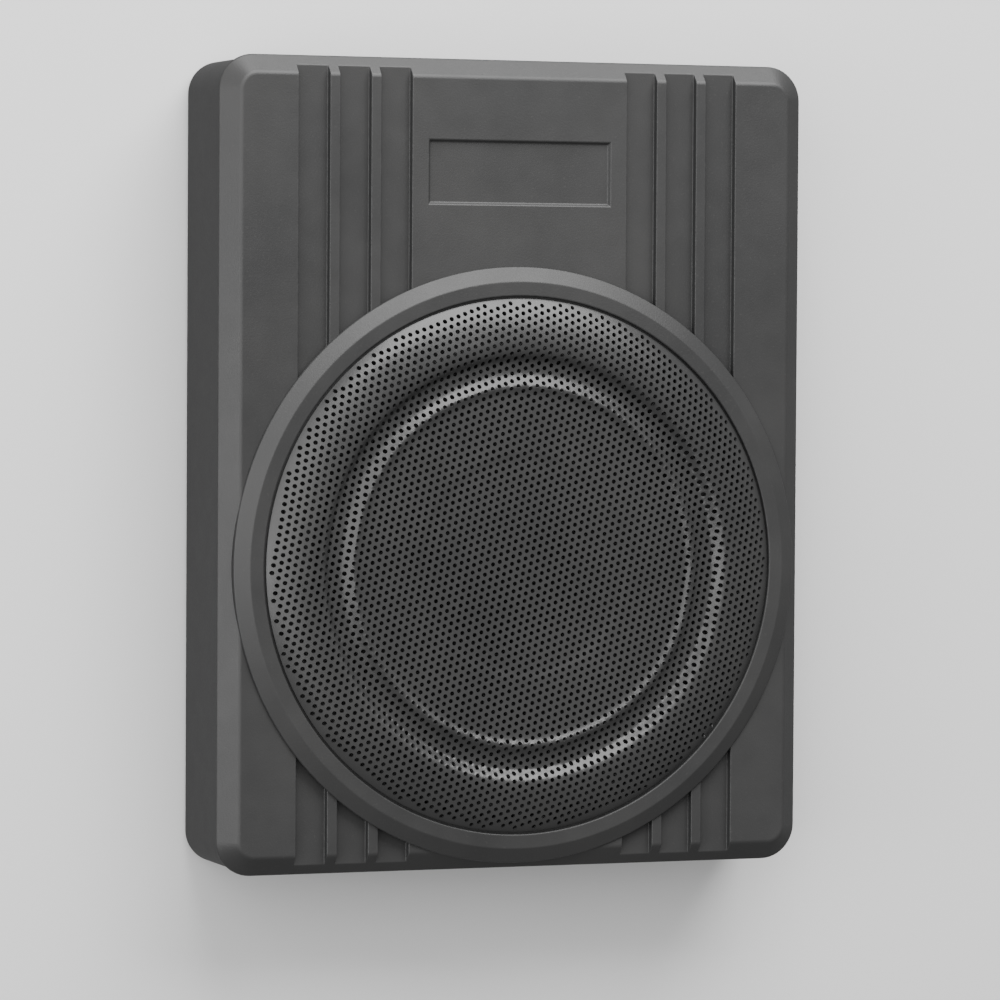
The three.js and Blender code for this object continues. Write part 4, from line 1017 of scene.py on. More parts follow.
@dataclass
class Palette:
    """Every material of the object, made once."""

    paint: Material = field(default_factory=Finish(
        "satin_grey_paint", (0.031, 0.0312, 0.0315), roughness=0.44, spread=0.08, mottle_scale=9.0,
        grain_scale=1700.0, grain_height=0.03, wear=0.22, wear_colour=(0.12, 0.12, 0.122), dust=0.04,
        specular=0.45).make)
    grille: Material = field(default_factory=Finish(
        "coated_grille_steel", (0.033, 0.0332, 0.0335), roughness=0.35, spread=0.05, grain_scale=2600.0,
        grain_height=0.006, wear=0.0, dust=0.04, specular=0.6).make)
    frame_steel: Material = field(default_factory=Finish(
        "coated_basket_steel", (0.02, 0.02, 0.021), roughness=0.5, grain_scale=1700.0,
        wear=0.25, wear_colour=(0.3, 0.3, 0.3)).make)
    rubber: Material = field(default_factory=Finish(
        "moulded_rubber", (0.014, 0.014, 0.014), roughness=0.78, spread=0.12, grain_scale=1100.0,
        grain_height=0.04, wear=0.3, wear_colour=(0.05, 0.05, 0.05), dust=0.14, specular=0.35).make)
    roll_rubber: Material = field(default_factory=Finish(
        "soft_roll_rubber", (0.012, 0.012, 0.0125), roughness=0.62, grain_scale=2400.0,
        grain_height=0.01, wear=0.0, dust=0.05).make)
    paper: Material = field(default_factory=PaperFinish(
        "pressed_cone_paper", (0.013, 0.013, 0.0135), roughness=0.82, spread=0.14, grain_scale=900.0,
        grain_height=0.05, wear=0.0, dust=0.08, specular=0.3).make)
    film: Material = field(default_factory=Finish(
        "former_film", (0.09, 0.055, 0.02), roughness=0.32, grain_scale=700.0, wear=0.0).make)
    wire: Material = field(default_factory=WoundFinish(
        "enamelled_copper_wire", (0.55, 0.2, 0.07), roughness=0.28, metallic=1.0, grain_height=0.02,
        wear=0.1, wear_colour=(0.8, 0.4, 0.2), dust=0.0).make)
    braid: Material = field(default_factory=ClothFinish(
        "copper_braid", (0.5, 0.23, 0.1), roughness=0.42, metallic=1.0, grain_height=0.06,
        threads=2600.0, wear=0.0, dust=0.0).make)
    cloth: Material = field(default_factory=ClothFinish(
        "resin_spider_cloth", (0.42, 0.29, 0.1), roughness=0.86, spread=0.1, grain_height=0.05,
        wear=0.0, dust=0.05, threads=1300.0, specular=0.2).make)
    plated: Material = field(default_factory=BrushedFinish(
        "zinc_plated_steel", (0.52, 0.53, 0.55), roughness=0.34, metallic=1.0, spread=0.1,
        grain_height=0.01, wear=0.2, wear_colour=(0.7, 0.7, 0.7), axis_y=Span.of("yoke").middle.y).make)
    ferrite: Material = field(default_factory=Finish(
        "ceramic_ferrite", (0.035, 0.035, 0.038), roughness=0.72, spread=0.16, mottle_scale=60.0,
        grain_scale=900.0, grain_height=0.06, wear=0.35, wear_colour=(0.12, 0.12, 0.12)).make)
    screw: Material = field(default_factory=Finish(
        "black_screw_steel", (0.03, 0.03, 0.032), roughness=0.36, metallic=0.9, grain_height=0.01,
        wear=0.5, wear_colour=(0.4, 0.4, 0.4), dust=0.03).make)
    plastic: Material = field(default_factory=Finish(
        "black_plastic", (0.017, 0.017, 0.018), roughness=0.5, grain_scale=1300.0, grain_height=0.03,
        wear=0.2, wear_colour=(0.07, 0.07, 0.07)).make)
    sleeve: Material = field(default_factory=Finish(
        "capacitor_sleeve", (0.012, 0.018, 0.06), roughness=0.26, grain_scale=500.0, grain_height=0.01,
        wear=0.1, coat=0.3).make)
    aluminium: Material = field(default_factory=Finish(
        "extruded_aluminium", (0.6, 0.61, 0.62), roughness=0.36, metallic=1.0, spread=0.08,
        grain_scale=2500.0, grain_height=0.015, wear=0.1, wear_colour=(0.8, 0.8, 0.8)).make)
    board: Material = field(default_factory=BoardFinish(
        "green_circuit_board", (0.012, 0.085, 0.03), roughness=0.34, grain_height=0.02,
        wear=0.3, wear_colour=(0.3, 0.26, 0.12), coat=0.4).make)
    lens: Material = field(default_factory=Finish(
        "green_led_lens", (0.03, 0.3, 0.08), roughness=0.12, grain_height=0.004, wear=0.0,
        dust=0.0, coat=0.6).make)
    marking: Material = field(default_factory=Finish(
        "white_marking", (0.62, 0.62, 0.6), roughness=0.6, spread=0.1, grain_height=0.01,
        wear=0.25, wear_colour=(0.2, 0.2, 0.2)).make)
    red: Material = field(default_factory=Finish(
        "red_plastic", (0.36, 0.014, 0.012), roughness=0.42, grain_height=0.01, wear=0.1,
        wear_colour=(0.5, 0.1, 0.1)).make)


def coat(piece: Piece, material: Material) -> None:
    """Make one material the only one of a piece."""
    piece.data.materials.clear()
    piece.data.materials.append(material)


def dress(
    piece: Piece,
    material: Material,
    body: str | None = CABINET,
    nodes: Sequence[str] = (),
    angle: float = 32.0,
) -> Piece:
    """Give a finished piece its material and its place in the frame.

    Args:
        piece: The piece.
        material: Its material.
        body: The CAD body it moves with, or None where it is left without one.
        nodes: The CAD nodes it stands for.
        angle: Edges sharper than this, in degrees, stay sharp.

    Returns:
        The same piece.
    """
    smooth(piece, angle)
    if body and len(piece.data.polygons) < FINE_MESH:
        even_out(piece)
    coat(piece, material)
    if body:
        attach(piece, body)
    if nodes:
        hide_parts(*nodes)
    LOG.info("%s: %d faces", piece.name, len(piece.data.polygons))
    return piece


def keep(node: str, material: Material, edge: float = 0.25) -> None:
    """Keep a CAD node, with a material of its own and softened edges.

    Args:
        node: Name of the CAD node.
        material: Its material.
        edge: Width of the softening, in millimetres.
    """
    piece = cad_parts[node]
    coat(piece, material)
    add_bevel(piece, edge, SOFT_STEPS, 40.0, clamp=True)
    LOG.info("%s kept", node)


# ---------------------------------------------------------------------------------------
# The cabinet
# ---------------------------------------------------------------------------------------


@dataclass
class Cover:
    """The pressed cover: chamfered edge, long channels, recess, well and screw bosses."""

    palette: Palette
    corner: float = 14.8
    chamfer_run: float = 7.8
    chamfer_rise: float = 6.8
    skin: float = 2.5
    lip: float = 4.0
    channel_start: float = 48.0
    channel_width: float = 13.5
    channel_land: float = 4.5
    channels: int = 3
    channel_depth: float = 3.2
    channel_stop: float = 120.3
    recess_half: float = 40.7
    recess_low: float = 109.0
    recess_high: float = 136.0
    recess_depth: float = 1.5
    recess_draft: float = 0.9
    seat_depth: float = 10.0
    seat_hole: float = 97.0
    well_radius: float = 107.0
    boss_radius: float = 6.5
    boss_split: float = 16.0
    bore: float = 2.3
    bore_roof: float = 7.0
    flat_reach: float = 12.0
    skirt: float = 1.2

    def __post_init__(self) -> None:
        """Read the levels of the cover and the places of what it holds."""
        box = Span.of("top_cover")
        self.half = (box.high.x, box.high.y)
        self.flat = box.high.z
        self.bottom = self.flat - self.chamfer_rise - self.skirt
        self.ring_y = Span.of("grille_ring").middle.y
        self.screws = Span.middles("cover_screw", COVER_SCREWS)
        self.driver_screws = Span.middles("woofer_screw", FLANGE_SCREWS)

    def edge_line(self, grow: float = 0.0) -> list[tuple[float, float, float]]:
        """Inset, height and corner radius from the foot of the cover to its flat."""
        return [
            (-grow, self.bottom, 0.0),
            (-grow, self.flat + grow - self.chamfer_rise, 1.6),
            (self.chamfer_run - grow, self.flat + grow, 3.2),
            (self.chamfer_run + self.flat_reach, self.flat + grow, 0.0),
        ]

    def envelope(self, name: str, grow: float, drop: float = 0.0) -> Piece:
        """The outer form of the cover as one solid.

        Args:
            name: Name of the solid.
            grow: How far it is swollen.
            drop: How far it runs below the foot of the cover.

        Returns:
            The solid.
        """
        line = rounded(self.edge_line(grow), 6, closed=False)
        line[0] = (line[0][0], line[0][1] - drop)
        return loft(name, self.half, self.corner, line)

    def bars(self, widen: float, low: float, high: float) -> Piece:
        """One bar for each channel, widened all round and stopped under the ring."""
        bars = []
        for i in range(self.channels):
            start = self.channel_start + i * (self.channel_width + self.channel_land)
            for side in (1, -1):
                ends = sorted((side * (start - widen), side * (start + self.channel_width + widen)))
                bars.append(block(f"bar_{i}_{side}", (ends[0], -200, low), (ends[1], 200, high)))
        first = join(bars[0], *bars[1:]) if widen > self.channel_land / 2 else merge("bars", bars)
        return cut(first, rod("stop", self.channel_stop - widen, 0, 90, (0, self.ring_y, 0), sides=LARGE))

    def recess(self) -> Piece:
        """The cutter for the blank recess, whose walls lean outwards."""
        verts = []
        for lean, z in ((-self.recess_draft, self.flat - self.recess_depth), (0.0, self.flat), (0.0, self.flat + 2)):
            half = self.recess_half + lean
            low, high = self.recess_low - lean, self.recess_high + lean
            verts += [(-half, low, z), (half, low, z), (half, high, z), (-half, high, z)]
        faces = [[0, 1, 2, 3], [8, 9, 10, 11]]
        faces += [[r + i, r + (i + 1) % 4, r + 4 + (i + 1) % 4, r + 4 + i] for r in (0, 4) for i in range(4)]
        return new_object("recess", verts, faces)

    def build(self) -> None:
        """Build the cover."""
        under = self.flat - self.skin
        shell = self.envelope("cover", 0.0)
        rise = under - self.bottom
        hollow = loft("hollow", self.half, self.corner, [
            (self.lip - 1.0, self.bottom - 1.0), (self.lip, self.bottom), (self.lip + rise, under)])
        floor = self.flat - self.channel_depth
        hollow = cut(hollow, self.bars(self.skin, floor - self.skin, self.flat))
        cut(shell, hollow)
        seat = self.flat - self.seat_depth
        wall = [(self.seat_hole, seat - self.skin), (self.well_radius + self.skin, seat - self.skin),
                (self.well_radius + self.skin, self.flat - 1), (self.seat_hole, self.flat - 1)]
        bosses = rods("boss", self.screws, self.boss_radius, self.flat - self.boss_split + FIT, self.flat - 1, SMALL)
        join(shell, lathe("well", wall, (0, self.ring_y, 0), sides=LARGE), *bosses)
        bores = rods("bore", self.screws, self.bore, self.flat - 2 * self.boss_split, self.flat - self.bore_roof)
        holes = rods("hole", self.driver_screws, self.bore - 0.1, seat - 6, seat + 2)
        cut(
            shell,
            self.bars(0.0, floor, self.flat + 2),
            self.recess(),
            rod("opening", self.well_radius, seat, self.flat + 2, (0, self.ring_y, 0), sides=LARGE),
            rod("through", self.seat_hole, seat - 6, seat + 1, (0, self.ring_y, 0), sides=LARGE),
            *bores,
            *holes,
        )
        soften(shell, 0.4, 3)
        dress(shell, self.palette.paint, nodes=["top_cover"])


@dataclass
class Base:
    """The deep tub under the cover, with screw bosses and the bay in its +Y wall."""

    palette: Palette
    corner: float = 13.6
    wall: float = 3.0
    floor: float = 2.5
    foot_round: float = 2.4
    boss_radius: float = 6.5
    pocket_radius: float = 4.5
    pocket_depth: float = 6.0
    standoff_radius: float = 3.5
    bay_half: float = 92.0
    bay_low: float = 9.5
    bay_high: float = 44.5
    bay_depth: float = 9.5
    bay_wall: float = 2.5
    lip: float = 3.5
    end_lip: float = 8.0
    lip_thickness: float = 2.4
    panel_thickness: float = 1.6
    floor_reach: float = 14.0
    boss_below: float = 6.4
    bore: float = 2.3
    pilot: float = 1.6

    def build(self) -> None:
        """Build the tub."""
        box = Span.of("base_housing")
        half = (box.high.x, box.high.y)
        low, high = box.low.z, box.high.z
        floor = low + self.floor
        corners = [
            (self.floor_reach, low, 0.0), (0.0, low, self.foot_round), (0.0, high, 0.5), (self.wall, high, 0.5),
            (self.wall, floor, 1.5), (self.floor_reach, floor, 0.0),
        ]
        tub = loft("base", half, self.corner, rounded(corners, 5, closed=False))
        screws = Span.middles("cover_screw", COVER_SCREWS)
        posts = Span.middles("board_screw", BOARD_SCREWS)
        split = min(Span.of("top_cover").low.z - FIT, high - self.boss_below)
        board = Span.of("amp_board").low.z
        bosses = rods("boss", screws, self.boss_radius, floor - 1, split, SMALL)
        bosses += rods("post", posts, self.standoff_radius, floor - 1, board - FIT)
        face = half[1]
        lip_face = face - self.bay_depth - self.panel_thickness - FIT
        back = lip_face - self.lip_thickness
        frame_block = block(
            "bay", (-self.bay_half - self.bay_wall, back, self.bay_low - self.bay_wall),
            (self.bay_half + self.bay_wall, face - self.wall / 2, self.bay_high + self.bay_wall))
        join(tub, frame_block, *bosses)
        throat = self.bay_half - self.end_lip
        middle = (self.bay_low + self.bay_high) / 2
        cutters = [
            block("pocket", (-self.bay_half, lip_face, self.bay_low), (self.bay_half, face + 2, self.bay_high)),
            block("throat", (-throat, back - 2, self.bay_low + self.lip),
                  (throat, lip_face + 1, self.bay_high - self.lip)),
        ]
        for p in screws:
            cutters += rods("head", [p], self.pocket_radius, low - 1, low + self.pocket_depth, SMALL)
            cutters += rods("shank", [p], self.bore, low, split + 1)
        cutters += rods("pilot", posts, self.pilot, floor, board)
        for p in Span.middles("panel_screw", PANEL_SCREWS):
            cutters.append(rod("panel_pilot", self.pilot, back - 1, lip_face + 1, (p.x, 0, middle), Axis.OUT, TINY))
        cut(tub, *cutters)
        soften(tub, 0.45, 3)
        dress(tub, self.palette.paint, nodes=["base_housing"])


@dataclass
class Trim:
    """Gasket, feet and ring: what is seated on the two shells."""

    palette: Palette
    cover: Cover
    ring_step: float = 0.9
    ring_chamfer: float = 6.3
    ring_land: float = 6.0
    shelf: float = 4.5
    shelf_top: float = 2.0
    skirt_wall: float = 5.0
    strip: float = 2.0
    strip_round: float = 0.35
    strip_corner: float = 13.1

    def gasket(self) -> None:
        """The rubber strip between base and cover."""
        box = Span.of("cover_gasket")
        low, high = box.low.z, box.high.z
        profile = rounded([(x, z, self.strip_round) for x, z in (
            (0, low), (0, high), (self.strip, high), (self.strip, low))], 4)
        strip = loft("seal_strip", (box.high.x, box.high.y), self.strip_corner, profile, ring=True)
        dress(strip, self.palette.rubber, nodes=["cover_gasket"])

    def feet(self) -> None:
        """Four rubber feet, each with a rounded rim and a shallow cup."""
        for i in range(1, FEET + 1):
            box = Span.of(f"foot_{i}")
            radius = box.size.x / 2
            top = box.high.z
            profile = rounded([
                (0, 0.35, 0), (radius - 3.4, 0.35, 0.3), (radius - 2.9, 0, 0.4), (radius - 0.9, 0, 0.9),
                (radius - 0.15, top * 0.55, 0.4), (radius, top, 0.15), (0, top, 0)], 4, closed=False)
            foot = lathe(f"rubber_foot_{i}", profile, (box.middle.x, box.middle.y, 0), sides=64)
            dress(foot, self.palette.rubber, nodes=[f"foot_{i}"])

    def ring(self) -> None:
        """The grille ring, whose skirt follows the edge of the cover."""
        box = Span.of("grille_ring")
        flat = self.cover.flat
        outer = box.size.x / 2
        top = box.high.z
        top_radius = outer - self.ring_chamfer
        bore = top_radius - self.ring_land
        inner = bore - self.shelf
        skirt = outer - self.skirt_wall
        low = box.low.z
        profile = rounded([
            (inner, flat + FIT, 0.0),
            (skirt, flat + FIT, 0.0),
            (skirt, low, 0.0),
            (outer, low, 0.0),
            (outer, flat + self.ring_step, 0.9),
            (top_radius, top, 1.7),
            (bore, top, 0.8),
            (bore, flat + self.shelf_top, 0.0),
            (inner, flat + self.shelf_top, 0.2),
        ], 6)
        ring = lathe("ring", profile, (0, self.cover.ring_y, 0), sides=256)
        cut(ring, self.cover.envelope("form", FIT, 4.0))
        dress(ring, self.palette.paint, nodes=["grille_ring"])


@dataclass
class Grille:
    """The dished sheet with round holes in a hexagonal pattern."""

    palette: Palette
    pitch: float = 3.2
    hole: float = 0.95
    turn: float = math.radians(20)
    thickness: float = 0.9
    least_hole: float = 0.7
    band: float = 0.6
    margin: float = 0.1
    corners: int = 8
    slack: float = 0.02
    dish: tuple[Point2, ...] = (
        (0.0, 7.42), (44.0, 7.3), (48.0, 7.62), (71.0, 7.6), (73.3, 8.0), (75.2, 8.95), (77.2, 7.9),
        (79.2, 6.7), (82.0, 6.1), (85.4, 6.2), (87.2, 7.6), (89.0, 9.3), (90.6, 9.85), (93.0, 10.0),
        (97.5, 9.45), (102.0, 8.45), (106.5, 6.95), (110.0, 5.0), (112.0, 3.4),
    )

    def hexagon(self, centre: Vector) -> list[Vector]:
        """Corners of the cell round a centre, counter-clockwise."""
        reach = self.pitch / math.sqrt(3)
        turns = [self.turn + math.pi / 6 + k * math.pi / 3 for k in range(6)]
        return [centre + Vector((math.cos(a), math.sin(a))) * reach for a in turns]

    def centres(self, reach: float) -> list[Vector]:
        """Centres of the cells that touch a circle of this radius or lie inside it."""
        along = Vector((math.cos(self.turn), math.sin(self.turn))) * self.pitch
        up = Vector((math.cos(self.turn + math.pi / 3), math.sin(self.turn + math.pi / 3))) * self.pitch
        rows = int(reach / self.pitch * 1.3)
        spots = [along * i + up * j for i in range(-rows, rows + 1) for j in range(-rows, rows + 1)]
        return [s for s in spots if s.length < reach + self.pitch]

    def clip(self, cell: Sequence[Vector], reach: float) -> list[Vector]:
        """Cut a cell off at a circle about the middle of the sheet.

        Args:
            cell: Corners of the cell, counter-clockwise.
            reach: Radius of the circle.

        Returns:
            Corners of what lies inside; none where the cell is outside.
        """
        kept: list[Vector] = []
        for here, ahead in zip(cell, [*cell[1:], cell[0]]):
            if here.length <= reach:
                kept.append(here)
            if (here.length <= reach) == (ahead.length <= reach):
                continue
            step = ahead - here
            a, b, c = step.dot(step), 2 * here.dot(step), here.dot(here) - reach**2
            root = math.sqrt(b * b - 4 * a * c)
            shares = [(-b - root) / (2 * a), (-b + root) / (2 * a)]
            kept.append(here + step * next(t for t in shares if 0 <= t <= 1))
        return kept

    def pierce(self, shape: bmesh.types.BMesh, centre: Vector, outer: list[bmesh.types.BMVert],
               hole: float) -> None:
        """Fill a cell round its hole.

        Args:
            shape: The mesh.
            centre: Centre of the hole.
            outer: Vertices of the cell, counter-clockwise.
            hole: Radius of the hole.
        """
        first = self.bearing(outer[0], centre)
        rims = [first + math.tau * k / self.corners for k in range(self.corners)]
        inner = [shape.verts.new((centre.x + hole * math.cos(a), centre.y + hole * math.sin(a), 0.0))
                 for a in rims]
        marks = [(self.bearing(v, centre) - first) % math.tau for v in outer[1:]] + [math.tau]
        i = k = 0
        while i < len(outer) or k < len(inner):
            a, b = outer[i % len(outer)], inner[k % len(inner)]
            share = math.tau * (k + 1) / len(inner)
            if k == len(inner) or (i < len(outer) and marks[i] <= share + 1e-6):
                i += 1
                shape.faces.new([a, outer[i % len(outer)], b])
            else:
                k += 1
                shape.faces.new([a, inner[k % len(inner)], b])

    def bearing(self, vert: bmesh.types.BMVert, centre: Vector) -> float:
        """Direction of a vertex as seen from a centre."""
        return math.atan2(vert.co.y - centre.y, vert.co.x - centre.x)

    def sheet(self, rim: float) -> bmesh.types.BMesh:
        """The flat pattern: pierced cells, and the band that joins them to the rim.

        Args:
            rim: Radius of the outer edge.

        Returns:
            The flat mesh, in millimetres.
        """
        shape = bmesh.new()
        found: dict[tuple[int, int], bmesh.types.BMVert] = {}

        def corner(spot: Vector) -> bmesh.types.BMVert:
            """The vertex at a spot, shared between cells."""
            key = (round(spot.x * 100), round(spot.y * 100))
            near = [(key[0] + i, key[1] + j) for i in (0, -1, 1) for j in (0, -1, 1)]
            match = next((k for k in near if k in found), None)
            if match is None:
                found[key] = shape.verts.new((spot.x, spot.y, 0.0))
                match = key
            return found[match]

        reach = rim - self.band
        for centre in self.centres(reach):
            outer = list(dict.fromkeys(corner(spot) for spot in self.clip(self.hexagon(centre), reach)))
            if len(outer) < 3:
                continue
            room = min(self.hole, reach - self.margin - centre.length)
            if room > self.least_hole:
                self.pierce(shape, centre, outer, room)
            else:
                shape.faces.new(outer)
        for radius in (rim - self.band / 2, rim):
            edge = [e for e in shape.edges if e.is_boundary and all(self.outermost(v, radius) for v in e.verts)]
            grown = bmesh.ops.extrude_edge_only(shape, edges=edge)["geom"]
            for vert in (v for v in grown if isinstance(v, bmesh.types.BMVert)):
                vert.co *= radius / vert.co.length
        return shape

    def outermost(self, vert: bmesh.types.BMVert, radius: float) -> bool:
        """Whether a vertex lies on the circle just inside a radius."""
        return vert.co.length > radius - self.band / 2 - self.slack

    def build(self) -> None:
        """Build the grille: dish the flat pattern, give it thickness and turn its edge down."""
        box = Span.of("grille_mesh")
        rim = box.size.x / 2
        flat = Span.of("top_cover").high.z
        centre_y = box.middle.y
        height = curve_through(self.dish)
        shape = self.sheet(rim)
        edge = [e for e in shape.edges if e.is_boundary and all(v.co.length > rim - self.slack for v in e.verts)]
        down = bmesh.ops.extrude_edge_only(shape, edges=edge)["geom"]
        skirt = {v for v in down if isinstance(v, bmesh.types.BMVert)}
        foot = box.low.z + self.thickness * 0.4
        for vert in shape.verts:
            radius = math.hypot(vert.co.x, vert.co.y)
            vert.co.z = foot if vert in skirt else flat + height(radius)
        bmesh.ops.recalc_face_normals(shape, faces=shape.faces)
        mesh = bpy.data.meshes.new("perforated_grille")
        shape.to_mesh(mesh)
        shape.free()
        mesh.transform(Matrix.Diagonal((MM, MM, MM, 1.0)) @ Matrix.Translation((0.0, centre_y, 0.0)))
        grille = place_data("perforated_grille", mesh)
        up = sum(p.normal.z for p in mesh.polygons)
        thick = grille.modifiers.new("sheet", "SOLIDIFY")
        thick.thickness = self.thickness * MM
        thick.offset = -1.0 if up > 0 else 1.0
        thick.use_rim = True
        settle(grille)
        dress(grille, self.palette.grille, nodes=["grille_mesh"], angle=48.0)


# ---------------------------------------------------------------------------------------
# Fasteners
# ---------------------------------------------------------------------------------------


@dataclass
class Screws:
    """Every screw: rounded head with a cross recess, and a threaded shank."""

    palette: Palette
    thread_pitch: float = 0.9
    thread_depth: float = 0.28

    def shank(self, radius: float, top: float, tip: float) -> list[Point2]:
        """Profile of a threaded shank from its tip up to under the head.

        Args:
            radius: Radius over the thread.
            top: Height under the head.
            tip: Height of the point, below the top.

        Returns:
            Radius and height pairs, from the axis at the tip.
        """
        points: list[Point2] = [(0.0, tip), (radius * 0.35, tip)]
        count = int((top - tip - 1.6) / self.thread_pitch)
        start = tip + 1.0
        for i in range(count):
            z = start + i * self.thread_pitch
            points.append((radius - self.thread_depth, z))
            points.append((radius, z + self.thread_pitch * 0.45))
        points.append((radius - self.thread_depth, start + count * self.thread_pitch))
        points.append((radius - self.thread_depth * 0.5, top))
        return points

    def one(self, name: str, node: str, head_radius: float, shank_radius: float, head_height: float,
            side: Side, axis: Axis, material: Material) -> None:
        """Build one screw in the box of its CAD node.

        Args:
            name: Name of the piece.
            node: CAD node it stands for.
            head_radius: Radius of the head.
            shank_radius: Radius over the thread.
            head_height: Height of the head.
            side: Which end the head is at.
            axis: Direction of the shank.
            material: Its material.
        """
        box = Span.of(node)
        index = 2 if axis is Axis.UP else 1
        length = box.size[index]
        seat = length - head_height
        profile = self.shank(shank_radius, seat, 0.0)
        head = rounded([
            (shank_radius, seat, 0.0), (head_radius, seat, 0.25), (head_radius, length - head_height * 0.45, 0.5),
            (head_radius * 0.62, length, 0.9), (0.0, length, 0.0)], 5, closed=False)
        middle = box.middle
        screw = lathe(name, profile + head[1:], (0, 0, 0), Axis.UP, 40)
        arm, depth = head_radius * 0.58, head_height * 0.62
        narrow = 0.13 * head_radius
        for wide, long in ((arm, narrow), (narrow, arm)):
            cut(screw, block("cross", (-wide, -long, length - depth), (wide, long, length + 1)))
        soften(screw, 0.08, 1, 40)
        if axis is Axis.OUT:
            screw.data.transform(Matrix.Rotation(math.radians(-90), 4, "X"))
        elif side is Side.BELOW:
            screw.data.transform(Matrix.Rotation(math.radians(180), 4, "X"))
        foot = box.high[index] if side is Side.BELOW else box.low[index]
        place = [middle.x, middle.y, middle.z]
        place[index] = foot
        screw.data.transform(Matrix.Translation([c * MM for c in place]))
        dress(screw, material, nodes=[node])

    def build(self) -> None:
        """Build all the screws."""
        dark, bright = self.palette.screw, self.palette.plated
        for i in range(1, COVER_SCREWS + 1):
            self.one(f"cabinet_screw_{i}", f"cover_screw_{i}", 4.2, 2.0, 3.0, Side.BELOW, Axis.UP, dark)
        for i in range(1, FLANGE_SCREWS + 1):
            self.one(f"flange_screw_{i}", f"woofer_screw_{i}", 3.0, 1.9, 2.0, Side.ABOVE, Axis.UP, dark)
        for i in range(1, BOARD_SCREWS + 1):
            self.one(f"standoff_screw_{i}", f"board_screw_{i}", 2.8, 1.3, 1.8, Side.ABOVE, Axis.UP, bright)
            self.one(f"bay_screw_{i}", f"panel_screw_{i}", 2.8, 1.3, 1.8, Side.ABOVE, Axis.OUT, dark)


# ---------------------------------------------------------------------------------------
# The driver
# ---------------------------------------------------------------------------------------


